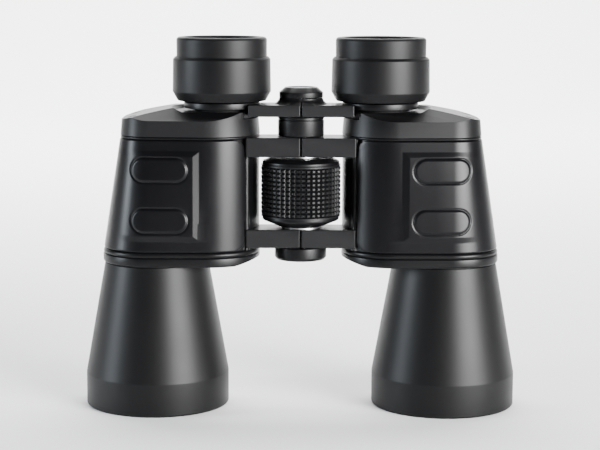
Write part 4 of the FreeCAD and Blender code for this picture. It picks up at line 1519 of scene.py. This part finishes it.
@dataclass
class Studio:
    """A pale sweep, soft lights and the camera."""

    distance: float = 0.775
    height: float = 0.1961
    aside: float = -0.0003
    pitch: float = 8.35
    roll: float = 0.23
    lens: float = 103.0

    def sweep(self) -> None:
        """A floor that curves up into a backdrop."""
        depth, wide, bend = 2.4, 5.0, 0.8
        profile = [(-3.0, 0.0), (depth - bend, 0.0)]
        profile += [(depth - bend + bend * math.sin(a), bend - bend * math.cos(a))
                    for a in (math.pi / 2 * step / 16 for step in range(1, 17))]
        profile.append((depth, 3.5))
        verts = [(x * 1000, y * 1000, z * 1000) for y, z in profile for x in (-wide, wide)]
        faces = [(2 * i, 2 * i + 1, 2 * i + 3, 2 * i + 2) for i in range(len(profile) - 1)]
        floor = mesh_object("studio_sweep", verts, faces)
        paper = bpy.data.materials.new("pale_paper")
        paper.use_nodes = True
        paper.node_tree.nodes["Principled BSDF"].inputs["Base Color"].default_value = (0.95, 0.95, 0.95, 1.0)
        paper.node_tree.nodes["Principled BSDF"].inputs["Roughness"].default_value = 0.9
        floor.data.materials.append(paper)

    def softbox(
        self, name: str, place: tuple[float, float, float], size: Point, power: float,
        colour: tuple[float, float, float] = (1.0, 1.0, 1.0), aim: Corner = (0.0, 0.0, 0.09),
        spread: float = 180.0,
    ) -> None:
        """An area light, aimed at the middle of the object unless told otherwise.

        Args:
            name: Name of the light.
            place: Where it stands, in metres.
            size: Width and height in metres.
            power: Power in watts.
            colour: Colour of the light.
            aim: The point it faces.
            spread: How wide its beam opens, in degrees.
        """
        light = bpy.data.lights.new(name, "AREA")
        light.shape = "RECTANGLE"
        light.size, light.size_y = size
        light.energy = power
        light.color = colour
        light.spread = math.radians(spread)
        lamp = bpy.data.objects.new(name, light)
        lamp.location = place
        way = Vector(aim) - Vector(place)
        lamp.rotation_euler = way.to_track_quat("-Z", "Y").to_euler()
        bpy.context.scene.collection.objects.link(lamp)

    def build(self) -> None:
        """Set up floor, lights, world and camera."""
        self.sweep()
        self.softbox("front_right_softbox", (0.82, -0.82, 0.26), (0.80, 0.50), 10.5, spread=60.0)
        self.softbox("left_side_softbox", (-1.25, -0.30, 0.26), (0.22, 0.60), 2.6,
                     colour=(0.84, 0.92, 1.0), spread=60.0)
        self.softbox("backdrop_wash", (0.0, 0.9, 1.5), (2.0, 0.5), 170.0, aim=(0.0, 2.4, 0.3))
        self.softbox("floor_wash", (0.0, 0.55, 1.6), (1.6, 0.4), 26.0, aim=(0.0, 0.9, 0.0))
        world = bpy.data.worlds.new("studio_air")
        world.use_nodes = True
        world.node_tree.nodes["Background"].inputs["Color"].default_value = (1.0, 1.0, 1.0, 1.0)
        world.node_tree.nodes["Background"].inputs["Strength"].default_value = 0.02
        bpy.context.scene.world = world
        data = bpy.data.cameras.new("camera")
        data.lens = self.lens
        data.clip_start = 0.01
        camera = bpy.data.objects.new("camera", data)
        camera.location = (self.aside, -self.distance, self.height)
        level = Matrix.Rotation(math.radians(90.0 - self.pitch), 3, "X")
        camera.rotation_euler = (level @ Matrix.Rotation(math.radians(self.roll), 3, "Z")).to_euler()
        bpy.context.scene.collection.objects.link(camera)
        bpy.context.scene.camera = camera


def main() -> None:
    """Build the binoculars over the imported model."""
    logging.basicConfig(level=logging.INFO, format="%(name)s %(message)s")
    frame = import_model()
    shop = Workshop(frame)
    form = HousingForm.from_model()
    arms = HingeArms()
    for side in Side:
        PrismHousing(form).build(side, shop)
        Armour(form).build(side, shop)
        PrismCover(form).build(side, shop)
        EndFlange(form).build(side, shop)
        arms.build(side, shop)
        BridgeArms(arms).build(side, shop)
        ObjectiveBarrel().build(side, shop)
        Eyepiece().build(side, shop)
    FocusWheel().build(shop)
    HingeCaps().build(shop)
    shop.dress_packed()
    Studio().build()


if __name__ == "__main__":
    main()
